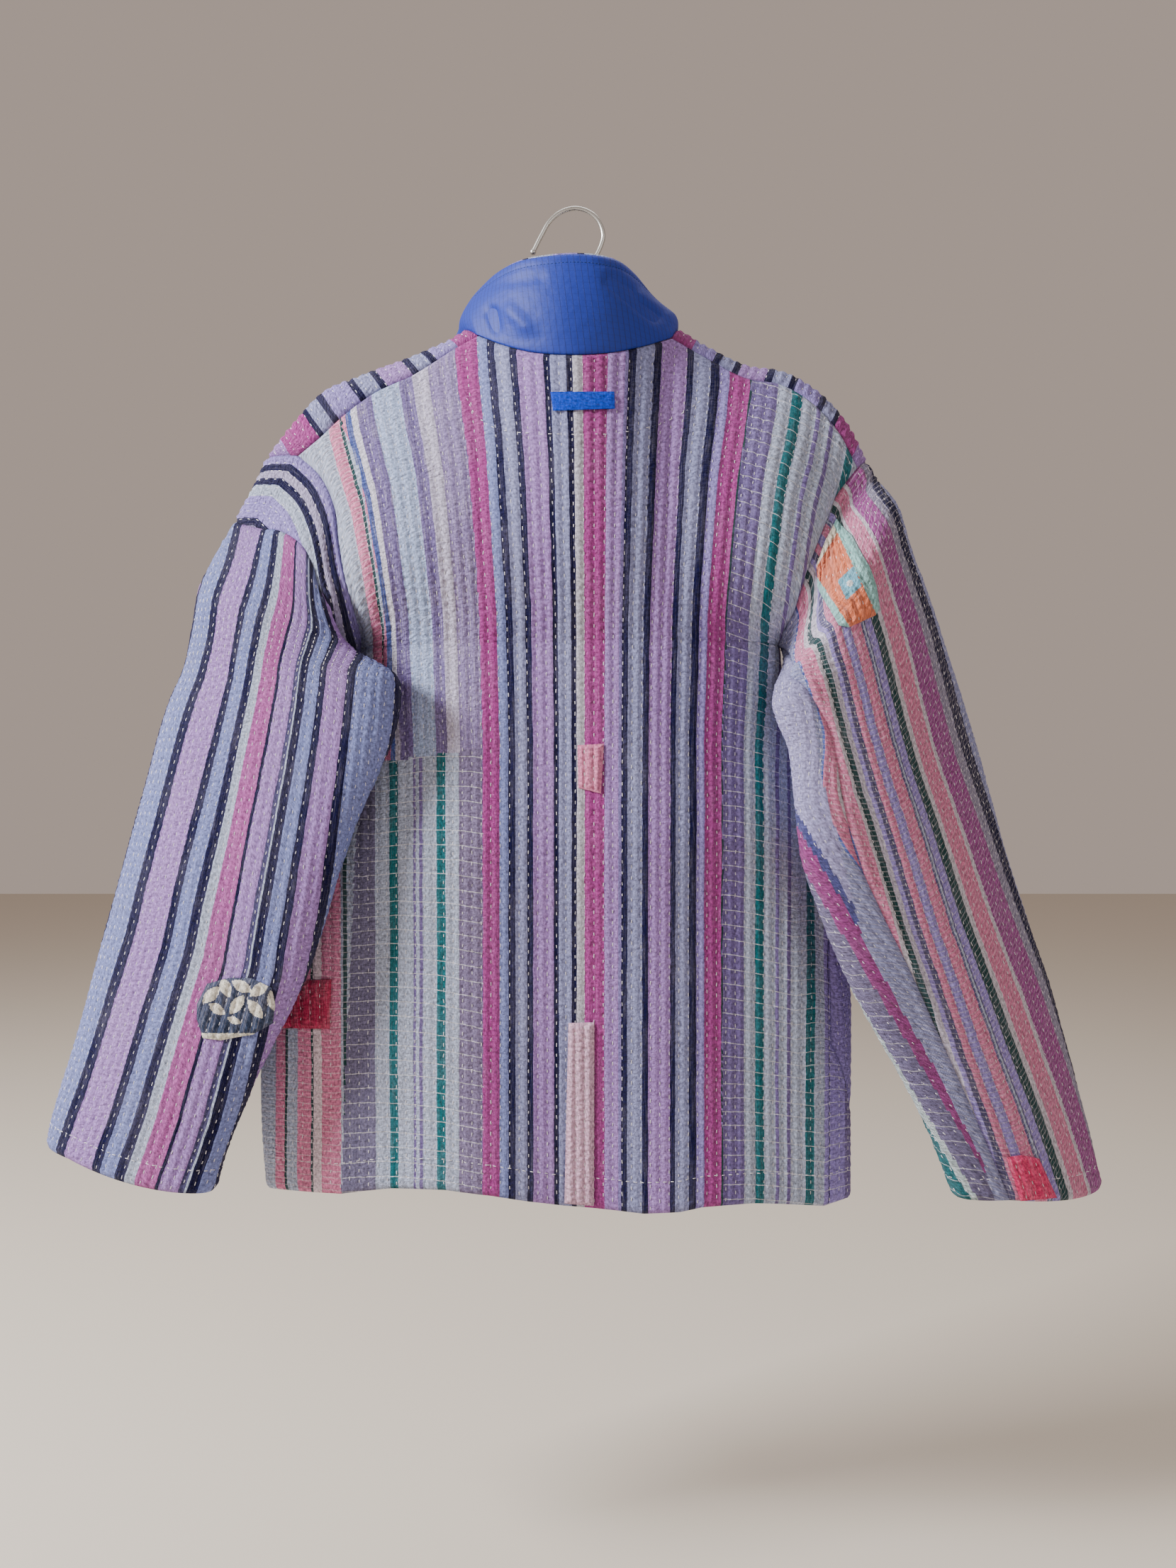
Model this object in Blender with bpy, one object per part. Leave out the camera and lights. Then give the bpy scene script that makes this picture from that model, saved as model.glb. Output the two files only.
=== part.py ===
"""Quilted patchwork work jacket on a wooden hanger, its back to -Y, hung by the hook at the origin."""
import math

import bpy
import numpy as np

MM = 0.001

# Driving sizes in millimetres
WALL = 2.4                 # two layers of old cotton, quilted
RIDGE = 1.0                # height of the quilting between its rows of stitches
SEAM = 0.24                # each piece stops this far short of its seam line
FRONT_GAP = 4.0            # each front stops this far from the middle
PATCH_WALL = 1.3
PATCH_LIFT = 0.42
WIRE = 1.5                 # radius of the hook's wire
ARM_THICK = 8.0
COLLAR_SKIN = 1.5
COLLAR_PEEK = 1.8          # the quilted top collar rolls this far past the blue under collar

# Outlines are given as seen from the back at this distance and height, on the hanger's plane y = 0;
# real() brings each point to its true place at its own depth.
EYE = (10.9, 1100.0, -477.0)

SIDE_LEFT = [(-253, -2, -808), (-257, 0, -750), (-257, 2, -696), (-243, 2, -634), (-225, 0, -572),
             (-204, -4, -500), (-188, -6, -440), (-178, -6, -395), (-175, -5, -367)]
SIDE_RIGHT = [(226, -2, -822), (226, 0, -760), (226, 2, -690), (224, 2, -635), (214, 0, -573),
              (201, -4, -500), (186, -6, -440), (172, -6, -395), (167, -5, -362)]
HEM = [(-260, -813), (-251, -814), (-195, -819), (-154, -815), (-108, -815), (-69, -819.5),
       (-39, -825), (-9, -829.5), (21, -832), (57, -835), (87, -833), (106, -829), (147.5, -827),
       (207, -829), (226, -822), (240, -822)]
DEPTH_BACK = [(0, 58), (0.3, 66), (0.65, 72), (1, 62)]
DEPTH_FRONT = [(0, 50), (0.3, 56), (0.65, 58), (1, 52)]
RIDGE_LEFT = [(-88, 2, -100), (-99, 0, -107), (-130, 0, -121), (-179, 0, -140), (-204, 0, -151),
              (-228, 0, -175), (-252.5, 0, -205)]
RIDGE_RIGHT = [(84, 2, -100), (110, 0, -116), (144, 0, -132), (170.5, 0, -136), (193.5, 0, -147),
               (223, 0, -176), (241, 0, -210)]
SEAM_LEFT = [(-80, -16, -104), (-100, -15, -115), (-117, -14, -126), (-133, -14, -136),
             (-167, -13, -152), (-194, -13, -172), (-211, -13, -188), (-230, -13, -204)]
SEAM_RIGHT = [(80, -11, -106), (110, -11, -123), (144, -11, -140), (170.5, -11, -144.5),
              (192, -11, -156), (219, -11, -184), (235, -11, -214)]
NECK_BACK = [(-80, -16, -104), (-62, -30, -111), (-34, -44, -118), (-3, -50, -120), (30, -44, -118),
             (60, -28, -112), (80, -11, -106)]
NECK_FRONT_LEFT = [(-FRONT_GAP, 66, -192), (-34, 62, -178), (-62, 50, -150), (-79, 30, -122),
                   (-86, 12, -108)]
NECK_FRONT_RIGHT = [(FRONT_GAP, 66, -194), (34, 62, -180), (62, 50, -152), (79, 30, -124),
                    (82, 12, -108)]
ARMHOLE_LEFT_BACK = [(-175, -5, -367), (-176, -26, -354), (-181, -45, -336), (-189, -54, -310),
                     (-195, -48, -280), (-200.6, -38, -245), (-212, -26, -221), (-230, -13, -204)]
ARMHOLE_LEFT_FRONT = [(-175, -5, -367), (-180, 22, -348), (-190, 42, -318), (-198, 46, -280),
                      (-208, 40, -248), (-226, 28, -226), (-252.5, 9, -212)]
ARMHOLE_RIGHT_BACK = [(167, -5, -362), (173, -28, -350), (182, -44, -333), (187, -50, -318),
                      (194, -48, -297), (202, -42, -276), (211, -32, -254), (217, -22, -238),
                      (227, -15, -224), (235, -11, -214)]
ARMHOLE_RIGHT_FRONT = [(167, -5, -362), (173, 22, -344), (185, 42, -312), (197, 46, -278),
                       (211, 38, -250), (226, 24, -228), (241, 9, -217)]
BAND_LEFT = [(-188, -8, -380), (-195, 10, -370), (-203, 28, -350), (-213, 47, -320), (-225, 52, -290),
             (-238, 44, -268), (-258, 24, -260), (-281, 0, -259), (-259, -20, -265),
             (-247, -32, -266), (-235, -42, -272), (-225, -50, -281), (-218, -56, -296),
             (-214, -60, -311), (-207, -63, -325), (-202, -56, -344), (-199, -42, -357),
             (-195, -26, -370), (-188, -8, -380)]
# outer edge x, y, z, inner edge x, y, z, half thickness of each section down the sleeves
SLEEVE_LEFT = [(-306, -5, -318, -175, -70, -373, 37), (-322, -9, -385, -150, -88, -393, 32),
               (-334, -10, -414, -155, -86, -436, 31), (-345, -12, -452, -176, -84, -486, 30),
               (-356, -12, -490, -195, -84, -535, 30), (-383, -14, -589, -226, -82, -634, 29),
               (-402, -16, -660, -253, -78, -692, 28), (-425, -18, -736, -286, -74, -759, 27),
               (-435, -20, -776, -303, -72, -811, 26)]
SLEEVE_RIGHT = [(258, 3, -240, 181, -46, -381, 42), (273, 5, -282, 171, -76, -396, 37),
                (288.5, 6, -326, 170, -86, -410, 34), (300, 6, -362, 174, -89, -424, 32),
                (312, 6, -397, 181, -90, -440, 31), (328, 6, -444, 187, -92, -490, 30),
                (344, 4, -500, 194, -92, -543, 29), (370, 2, -589, 228, -90, -630, 28),
                (391, 0, -652, 257, -86, -687, 27), (420, -2, -756, 300, -82, -769, 25),
                (433, -4, -804, 320, -80, -821, 24)]
SEAM_SHIFT_LEFT = [0, -0.09, -0.12, -0.13, -0.13, -0.13, -0.13, -0.13, -0.13, -0.13]
SEAM_SHIFT_RIGHT = [0, 0.015, 0.03, 0.06, 0.07, 0.075, 0.08, 0.09, 0.11, 0.11, 0.11, 0.12, 0.125]
COLLAR_TOP = [(-42, 100, -198), (-76, 90, -172), (-95, 76, -138), (-99, 56, -108), (-93, 42, -94),
              (-86, 28, -75.5), (-75, 8, -62), (-61, -14, -50), (-44, -33, -42), (-21, -44, -38),
              (-3, -46, -36.6), (19.5, -43, -38), (35, -34, -42), (49, -18, -53), (60, 2, -67),
              (70, 24, -80), (76, 42, -94), (83, 58, -112), (88, 76, -138), (74, 90, -168),
              (44, 100, -196)]
HOOK = [(-34.8, 0, -34.2), (-27.7, 0, -20.1), (-20.7, 0, -8.3), (-9.4, 0, 0), (0, 0, 2.1),
        (8.3, 0, 0.6), (16.5, 0, -4.4), (21.8, 0, -12.4), (23.6, 0, -20.7), (21.2, 0, -30.1),
        (17.7, 0, -37.2), (8, 0, -50), (2, 0, -62), (0, 0, -76), (0, 0, -90.7)]
# outlines of the patches, as seen from the back
LABEL = [(-19.5, -152.8), (31.9, -152.2), (32.5, -166.4), (-17.7, -168.2)]
PINK_CENTRE = [(2.4, -444.9), (24.2, -443.7), (21.8, -485.0), (2.9, -480.3)]
PALE_HEM = [(-5.3, -675.0), (16.5, -674.4), (15.9, -827.0), (-8.9, -825.0)]
RED_SIDE = [(-234, -641), (-201, -639), (-202.4, -680.3), (-244, -680)]
LEAF_SLEEVE = [(-313, -660), (-305, -643), (-288, -638.4), (-268, -638.4), (-252, -646), (-249.5, -660),
               (-252, -675), (-268, -685), (-294, -690), (-308, -688), (-313, -672)]
DIAMOND_SLEEVE = [(216, -258), (231, -271.4), (243, -295.6), (249, -313.9), (251.3, -331.6),
                  (247.8, -337.5), (226.6, -347.5), (218.9, -346.3), (214.2, -333.4),
                  (203, -314), (200, -296), (207, -276)]
PINK_CUFF = [(357, -787.1), (368.8, -785.3), (383, -788.3), (398.3, -821), (368.8, -823.5)]

UNDERARMS = [(-180, -6, -372), (167, -5, -362)]

COLORS = {
    "striped_cloth": (0.42, 0.33, 0.50, 1), "blue_ripstop": (0.03, 0.12, 0.46, 1),
    "label_blue": (0.02, 0.10, 0.55, 1), "pink_cloth": (0.75, 0.32, 0.42, 1),
    "pale_cloth": (0.80, 0.62, 0.70, 1), "red_cloth": (0.65, 0.05, 0.13, 1),
    "slate_cloth": (0.10, 0.12, 0.19, 1), "orange_cloth": (0.80, 0.42, 0.25, 1),
    "steel": (0.62, 0.62, 0.63, 1), "wood": (0.45, 0.28, 0.14, 1)}


def real(points):
    p = np.array(points, float)
    s = 1 + p[..., 1] / EYE[1]
    p[..., 0] = EYE[0] + (p[..., 0] - EYE[0]) * s
    p[..., 2] = EYE[2] + (p[..., 2] - EYE[2]) * s
    return p


def seen(points):
    p = np.array(points, float)
    s = 1 + p[..., 1] / EYE[1]
    return np.stack([EYE[0] + (p[..., 0] - EYE[0]) / s, EYE[2] + (p[..., 2] - EYE[2]) / s], -1)


def along(points, t, knots=None):
    """Points at the shares t of a smooth line through the given points."""
    p = np.array(points, float)
    if knots is None:
        step = np.linalg.norm(np.diff(p, axis=0), axis=1)
        knots = np.r_[0, np.cumsum(step)]
        knots = knots / knots[-1]
    m = np.gradient(p, knots, axis=0)
    t = np.clip(np.asarray(t, float), 0, 1)
    i = np.clip(np.searchsorted(knots, t, side="right") - 1, 0, len(knots) - 2)
    shape = (-1,) + (1,) * (p.ndim - 1)
    h = (knots[i + 1] - knots[i]).reshape(shape)
    s = ((t - knots[i]) / (knots[i + 1] - knots[i])).reshape(shape)
    return ((2 * s**3 - 3 * s**2 + 1) * p[i] + (s**3 - 2 * s**2 + s) * h * m[i]
            + (3 * s**2 - 2 * s**3) * p[i + 1] + (s**3 - s**2) * h * m[i + 1])


def even(line, t):
    """Points at the shares t of a line's own length."""
    k = np.r_[0, np.cumsum(np.linalg.norm(np.diff(line, axis=0), axis=1))]
    k = k / k[-1]
    return np.stack([np.interp(t, k, line[:, c]) for c in range(3)], 1)


def smooth(a, b, x):
    t = np.clip((x - a) / (b - a), 0, 1)
    return t * t * (3 - 2 * t)


def power(x, e):
    return np.sign(x) * np.abs(x) ** e


def body_ring(v, start, end):
    """One level of the body between two angles; 0 is the middle of the back, v = 0 the hem."""
    left, right = along(real(SIDE_LEFT), [v])[0], along(real(SIDE_RIGHT), [v])[0]
    th = np.linspace(start, end, 361)
    back = np.interp(v, *zip(*DEPTH_BACK))
    front = np.interp(v, *zip(*DEPTH_FRONT))
    half = (right[0] - left[0]) / 2
    x = (left[0] + right[0]) / 2 + half * power(np.sin(th), 0.9)
    y = (left[1] + right[1]) / 2 - np.where(np.cos(th) > 0, back, front) * power(np.cos(th), 0.86)
    level = left[2] + (right[2] - left[2]) * (x - left[0]) / (2 * half)
    base = -808 - 14 * (x + 253) / 479
    hx, hz = zip(*HEM)
    s = 1 + y / EYE[1]
    hem = EYE[2] + (np.interp(EYE[0] + (x - EYE[0]) / s, hx, hz) - EYE[2]) * s
    hem = np.where(np.cos(th) > 0, hem, base - 6 * np.cos(th) ** 2)
    z = level + (hem - base) * (1 - v) ** 2
    rear = np.clip(np.cos(th), 0, 1)
    y = y + rear * (1 - 0.6 * v) * 3.2 * np.sin((x + 34) / 26 + v * 1.5)
    fold = np.interp(v, [0, 0.25, 0.55, 0.9, 1], [216, 210, 190, 166, 160])
    y = y + 9 * np.exp(-((x - fold) / 13) ** 2) * rear ** 0.3 * np.interp(v, [0, 0.3, 0.7, 1], [0, 1, 1, 0.3])
    return np.stack([x, y, z], 1)


def side_angle(v, side):
    """The angle of the side seams; the right one wanders on to the back below the waist."""
    wander = np.interp(v, [0, 0.14, 0.28, 0.42, 0.7, 1], [0, 0, 0.4, 0.4, 0.1, 0])
    return -math.pi / 2 if side < 0 else math.pi / 2 - wander


def coons(low, high, first, last, u, w, fade=(4, 4)):
    """Surface between four edges; the two side edges fade into it over a short way."""
    u, w = np.asarray(u)[:, None, None], np.asarray(w)[None, :, None]
    ruled = (1 - w) * low[:, None] + w * high[:, None]
    left, right = first[None] - ruled[:1], last[None] - ruled[-1:]
    return ruled + (1 - u) ** fade[0] * left + u ** fade[1] * right


def top_x(us):
    """Where the columns of the back come up along its shoulder and neck line."""
    low = even(body_ring(1, -math.pi / 2, math.pi / 2), np.r_[0, us, 1])[:, 0]
    s = 2 * np.asarray(us) - 1
    return (low[1:-1] + (real(SEAM_LEFT)[-1, 0] - low[0]) * np.clip((-s - 0.25) / 0.75, 0, 1) ** 1.4
            + (real(SEAM_RIGHT)[-1, 0] - low[-1]) * np.clip((s - 0.25) / 0.75, 0, 1) ** 1.4)


US_FINE = np.linspace(0, 1, 4001)
US_NECK = [float(np.interp(real(NECK_BACK)[k, 0], top_x(US_FINE), US_FINE)) for k in (0, -1)]


def back_grid(us, vs):
    """The back: v from 0 at the hem over 1 at the underarm to 2 at the shoulder seams and neck."""
    us, vs = np.asarray(us, float), np.asarray(vs, float)
    rows = [even(body_ring(v, side_angle(v, -1), side_angle(v, 1)), us) for v in vs[vs <= 1]]
    w = vs[vs > 1] - 1
    low = even(body_ring(1, -math.pi / 2, math.pi / 2), us)
    s = 2 * us - 1
    x = top_x(us)
    x[us == US_NECK[0]], x[us == US_NECK[1]] = real(NECK_BACK)[0, 0], real(NECK_BACK)[-1, 0]
    t = np.linspace(0, 1, 400)
    parts = [along(real(SEAM_LEFT)[::-1], t), along(real(NECK_BACK), t), along(real(SEAM_RIGHT), t)]
    fine = np.vstack(parts)
    high = np.stack([x, np.interp(x, fine[:, 0], fine[:, 1]), np.interp(x, fine[:, 0], fine[:, 2])], 1)
    upper = coons(low, high, along(real(ARMHOLE_LEFT_BACK), w), along(real(ARMHOLE_RIGHT_BACK), w),
                  us, w)
    bulge = np.sin(math.pi * w)[None] * 9 * (1 - s[:, None] ** 4)
    upper[:, :, 1] -= bulge
    lower = np.stack(rows, 1) if rows else np.zeros((len(us), 0, 3))
    return np.concatenate([lower, upper], 1)


def front_grid(side, us, vs):
    """A front: u from the side seam to the middle, v over 1 and 2 to 3 at the shoulder seam."""
    us, vs = np.asarray(us, float), np.asarray(vs, float)
    ridge, seam = real(RIDGE_LEFT), real(SEAM_LEFT)
    hole, neck = real(ARMHOLE_LEFT_FRONT), real(NECK_FRONT_LEFT)
    if side > 0:
        ridge, seam = real(RIDGE_RIGHT), real(SEAM_RIGHT)
        hole, neck = real(ARMHOLE_RIGHT_FRONT), real(NECK_FRONT_RIGHT)
    grid = []
    for v in vs[vs <= 1]:
        ring = body_ring(v, side_angle(v, side), side * math.pi)
        ring[:, 0] += side * FRONT_GAP * smooth(40, 0, np.abs(ring[:, 0] - ring[-1, 0]))
        grid.append(even(ring, us))
    low = even(body_ring(1, side * math.pi / 2, side * math.pi), us)
    low[:, 0] += side * FRONT_GAP * us
    r = along(ridge[::-1], us)
    front = r + np.array([0, 9, -7.0])
    front[-1] = neck[-1]
    front[0] = hole[-1]
    w = vs[(vs > 1) & (vs <= 2)] - 1
    chest = np.array([low[-1], (low[-1] + neck[0]) / 2 + (0, 3, 0), neck[0]])
    inner = np.vstack([along(chest, np.clip(w[w <= 0.55] / 0.55, 0, 1)),
                       along(neck, np.clip((w[w > 0.55] - 0.55) / 0.45, 0, 1))])
    mid = coons(low, front, along(hole, w), inner, us, w, (4, 2))
    mid[:, :, 1] += np.sin(math.pi * w)[None] * 10 * np.sin(math.pi * us)[:, None]
    s = (vs[vs > 2] - 2)[None, :, None]
    back = along(seam[::-1], us)[:, None]
    strip = (front[:, None] * (s - 0.5) * (s - 1) * 2 - r[:, None] * s * (s - 1) * 4
             + back * s * (s - 0.5) * 2)
    lower = np.stack(grid, 1) if grid else np.zeros((len(us), 0, 3))
    return np.concatenate([lower, mid, strip], 1)


def station_ring(outer, inner, thick, shift, us):
    """One section of a sleeve: u from its seam round the front, the outer edge and the back."""
    wide = (outer - inner) / 2
    unit = wide / np.linalg.norm(wide)
    deep = np.array([0, -1.0, 0]) + unit * unit[1]
    deep = deep / np.linalg.norm(deep) * thick
    a = math.pi + 2 * math.pi * np.linspace(0, 1, 721)
    ring = (outer + inner) / 2 + np.cos(a)[:, None] * wide + np.sin(a)[:, None] * deep
    return even(ring, (us - shift) % 1.0 if shift else us)


def armhole(side):
    """The armhole as a loop: up the front from the underarm, over the shoulder and down the back."""
    front = front_grid(side, [0.0, 1.0], np.linspace(1.0001, 3, 240))[0]
    back = back_grid([0.0, 1.0], np.linspace(1.0001, 2, 160))[0 if side < 0 else -1]
    loop = np.vstack([front, back[::-1][1:]])
    loop[-1] = loop[0]
    return loop


def neckline():
    """The neck seam from the left front round the back to the right front."""
    v = np.linspace(1.55, 3, 200)
    left, right = (front_grid(side, [0.0, 1.0], v)[-1] for side in (-1, 1))
    back = back_grid(np.r_[0, np.linspace(US_NECK[0], US_NECK[1], 120), 1], [1.5, 2.0])[1:-1, -1]
    return np.vstack([left[:-1], back, right[::-1][1:]])


def closed(loop, us):
    return even(loop if len(loop) > 99 else along(loop, np.linspace(0, 1, 721)), us)


def relax(grid, point, times):
    """Even out the folds of a tube round the underarm."""
    w = np.exp(-(np.linalg.norm(grid - point, axis=2) / 32) ** 2)[:, 1:-1, None]
    for k in range(times):
        g = grid[:-1]
        mean = (np.roll(g, 1, 0) + np.roll(g, -1, 0))[:, 1:-1] + g[:, 2:] + g[:, :-2]
        step = (mean / 4 - g[:, 1:-1]) * w[:-1] * 0.5
        grid[:-1, 1:-1] += step
        grid[-1, 1:-1] = grid[0, 1:-1]


def sleeve_grid(side, us, vs, loop=None):
    """A sleeve: u from its seam round the front, v from its head to the cuff."""
    us, vs = np.asarray(us, float), np.asarray(vs, float)
    if side < 0:
        rings = [closed(real(BAND_LEFT), us)]
        table, shifts = SLEEVE_LEFT, SEAM_SHIFT_LEFT
    else:
        rings = [closed(armhole(1), us) if loop is None else loop]
        t = smooth(-362, -210, rings[0][:, 2])[:, None]
        rings.append(rings[0] + 11 * (np.array([1, 0, 0.05]) * (1 - t) + np.array([0.5, 0, -0.87]) * t))
        table, shifts = SLEEVE_RIGHT, SEAM_SHIFT_RIGHT
    for k, row in enumerate(table):
        p = real([row[:3], row[3:6]])
        rings.append(station_ring(p[0], p[1], row[6], shifts[k + 1], us))
    rings = np.array(rings)
    mids = rings.mean(axis=1)
    knots = np.r_[0, np.cumsum(np.linalg.norm(np.diff(mids, axis=0), axis=1) + 6)]
    grid = along(rings, vs, knots / knots[-1]).transpose(1, 0, 2)
    # by the underarm the cloth runs straight from the armhole to the first full section
    if side < 0:
        first = along(rings, [0.25], knots / knots[-1])[0][:, None]
        k = np.clip(vs / 0.25, 0, 1)[None, :, None]
        near = np.exp(-(np.minimum(us, 1 - us) / 0.06) ** 4)[:, None, None] * (vs < 0.25)[None, :, None]
        grid += (rings[0][:, None] * (1 - k) + first * k - grid) * near
    relax(grid, UNDERARMS[0 if side < 0 else 1], 5 if side < 0 else 30)
    droop = 6 * np.clip(np.sin(math.pi + 2 * math.pi * us), 0, 1)[:, None] * smooth(0.8, 1, vs)[None]
    grid[:, :, 2] -= droop
    return grid


def band_grid(us, vs, loop=None):
    """The ring of cloth between the left armhole and the head of the sleeve."""
    vs = np.asarray(vs, float)[None, :, None]
    a = (closed(armhole(-1), us) if loop is None else loop)[:, None]
    return a + (closed(real(BAND_LEFT), us)[:, None] - a) * vs


def collar_grid(low, us, vs, rise):
    """The collar's middle surface from just above the neck seam to its edge."""
    high = even(along(real(COLLAR_TOP), np.linspace(0, 1, 801)), us)
    first = (rise / np.linalg.norm(high - low, axis=1))[:, None]
    w = (first + (1 - first) * np.asarray(vs, float)[None])[:, :, None]
    grid = low[:, None] * (1 - w) + high[:, None] * w
    out = low - low.mean(axis=0)
    out[:, 2] = 0
    out /= np.linalg.norm(out, axis=1)[:, None]
    return grid + out[:, None] * 5 * np.sin(math.pi * w)


def grid_normals(g):
    du, dv = np.gradient(g, axis=0), np.gradient(g, axis=1)
    n = np.cross(du, dv)
    return n / np.maximum(np.linalg.norm(n, axis=2, keepdims=True), 1e-9)


class Panel:
    """A cloth piece held as a grid of points on its middle surface, with normals facing out."""

    def __init__(self, name, grid, flip, seams="LRBT"):
        self.name, self.mid, self.seams = name, grid, seams
        self.normal = grid_normals(grid) * (-1 if flip else 1)
        if seams == "tube":
            n = self.normal[0] + self.normal[-1]
            self.normal[0] = self.normal[-1] = n / np.linalg.norm(n, axis=1, keepdims=True)
        self.near = sum(np.exp(-(np.linalg.norm(grid - u, axis=2) / 20) ** 2) for u in UNDERARMS)
        if seams == "tube":
            for _ in range(12):
                n = self.normal[:-1]
                total = n * 2 + np.roll(n, 1, 0) + np.roll(n, -1, 0)
                total[:, 1:] += n[:, :-1]
                total[:, :-1] += n[:, 1:]
                mix = n + (total / 6 - n) * self.near[:-1, :, None]
                self.normal[:-1] = mix / np.linalg.norm(mix, axis=2, keepdims=True)
                self.normal[-1] = self.normal[0]
        self.own = self.normal.copy()

    def edges(self):
        return [(self.mid[0], self.own[0]), (self.mid[-1], self.own[-1]),
                (self.mid[:, 0], self.own[:, 0]), (self.mid[:, -1], self.own[:, -1])]


def share_normals(panels):
    """Give both sides of each seam the same normal, so that the walls meet on a mitre."""
    for p in panels:
        fields = (p.mid, p.normal, p.near)
        views = [[f[k] for f in fields] for k in (0, -1)] + [[f[:, k] for f in fields] for k in (0, -1)]
        for points, normals, near in views:
            for k in range(len(points)):
                total = normals[k].copy()
                for q in panels:
                    if q is p:
                        continue
                    best, add = 1.2, None
                    for line, nrm in q.edges():
                        d = line[1:] - line[:-1]
                        t = ((points[k] - line[:-1]) * d).sum(1) / np.maximum((d * d).sum(1), 1e-9)
                        t = np.clip(t, 0, 1)
                        gap = np.linalg.norm(line[:-1] + d * t[:, None] - points[k], axis=1)
                        j = int(gap.argmin())
                        if gap[j] < best:
                            best, add = gap[j], nrm[j] * (1 - t[j]) + nrm[j + 1] * t[j]
                    if add is not None:
                        total = total + add * (1 - near[k])
                normals[k] = total / np.linalg.norm(total)


def pull_back(p, amount, which, corner=None):
    """Draw the piece's edges back from their seam lines, square to each edge; the corner at the
    underarm is drawn back a little more."""
    m, out = p.mid, p.mid.copy()
    far = amount + 1.4 * np.sqrt(p.near)

    def move(edge, inside, normal, amount):
        d = np.cross(normal, np.gradient(edge, axis=0))
        d *= np.sign((d * (inside - edge)).sum(1))[:, None]
        return d / np.linalg.norm(d, axis=1, keepdims=True) * amount[:, None]
    if "L" in which:
        out[0] += move(m[0], m[1], p.own[0], far[0])
    if "R" in which:
        out[-1] += move(m[-1], m[-2], p.own[-1], far[-1])
    if "B" in which:
        out[:, 0] += move(m[:, 0], m[:, 1], p.own[:, 0], far[:, 0])
    if "T" in which:
        out[:, -1] += move(m[:, -1], m[:, -2], p.own[:, -1], far[:, -1])
    if corner is not None:
        for i in (0, -1) if which == "LRT" else (0,):
            down = m[i, corner - 1] - m[i, corner]
            out[i, corner] += down / np.linalg.norm(down) * amount * 6
    if p.seams == "tube":
        out[0] = out[-1] = (out[0] + out[-1]) / 2
    p.mid = out


def material(name):
    mat = bpy.data.materials.get(name)
    if mat:
        return mat
    mat = bpy.data.materials.new(name)
    mat.use_nodes = True
    b = mat.node_tree.nodes["Principled BSDF"]
    b.inputs["Base Color"].default_value = COLORS[name]
    b.inputs["Roughness"].default_value = 0.25 if name == "steel" else 0.5 if name == "wood" else 0.9
    b.inputs["Metallic"].default_value = 1.0 if name == "steel" else 0.0
    return mat


def add_object(name, verts, faces, mat):
    v = np.array(verts, float)
    f = [tuple(t) for t in faces]
    a = v[[t[0] for t in f]]
    b = v[[t[1] for t in f]]
    c = v[[t[2] for t in f]]
    if (a * np.cross(b, c)).sum() < 0:
        f = [t[::-1] for t in f]
    mesh = bpy.data.meshes.new(name)
    mesh.from_pydata((v * MM).tolist(), [], f)
    mesh.validate()
    for poly in mesh.polygons:
        poly.use_smooth = True
    mesh.materials.append(material(mat))
    ob = bpy.data.objects.new(name, mesh)
    bpy.context.scene.collection.objects.link(ob)
    return ob


def tube_shell(outer, inner):
    """Closed wall of a tube, whose first and last columns are the same."""
    nu, nv = outer.shape[0] - 1, outer.shape[1]
    verts = np.vstack([outer[:-1].reshape(-1, 3), inner[:-1].reshape(-1, 3)])
    base, faces = nu * nv, []
    for i in range(nu):
        a, b = i * nv, (i + 1) % nu * nv
        for j in range(nv - 1):
            faces += [(a + j, b + j, b + j + 1), (a + j, b + j + 1, a + j + 1),
                      (base + a + j, base + b + j + 1, base + b + j),
                      (base + a + j, base + a + j + 1, base + b + j + 1)]
        for j, turn in ((0, 1), (nv - 1, -1)):
            faces += [(base + a + j, b + j, a + j)[::turn], (base + a + j, base + b + j, b + j)[::turn]]
    return verts, faces


def shell(outer, inner):
    """Closed wall between an outer grid and a plain inner grid with all or every second column."""
    nu, nv = outer.shape[:2]
    mu = inner.shape[0]
    step = (nu - 1) // (mu - 1)
    verts = np.vstack([outer.reshape(-1, 3), inner.reshape(-1, 3)])
    base = nu * nv
    faces = []

    def o(i, j):
        return i * nv + j

    def n(i, j):
        return base + (i // step) * nv + j
    for i in range(nu - 1):
        for j in range(nv - 1):
            faces += [(o(i, j), o(i + 1, j), o(i + 1, j + 1)), (o(i, j), o(i + 1, j + 1), o(i, j + 1))]
    for i in range(0, nu - 1, step):
        for j in range(nv - 1):
            a, b = n(i, j), n(i + step, j)
            faces += [(a, b + 1, b), (a, a + 1, b + 1)]
    for j in range(nv - 1):
        faces += [(o(0, j), o(0, j + 1), n(0, j + 1)), (o(0, j), n(0, j + 1), n(0, j))]
        e = nu - 1
        faces += [(o(e, j), n(e, j), n(e, j + 1)), (o(e, j), n(e, j + 1), o(e, j + 1))]
    for i in range(0, nu - 1, step):
        for j, turn in ((0, False), (nv - 1, True)):
            fan = [(n(i, j), o(i + k + 1, j), o(i + k, j)) for k in range(step)]
            fan.append((n(i, j), n(i + step, j), o(i + step, j)))
            faces += [t[::-1] for t in fan] if turn else fan
    return verts, faces


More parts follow.
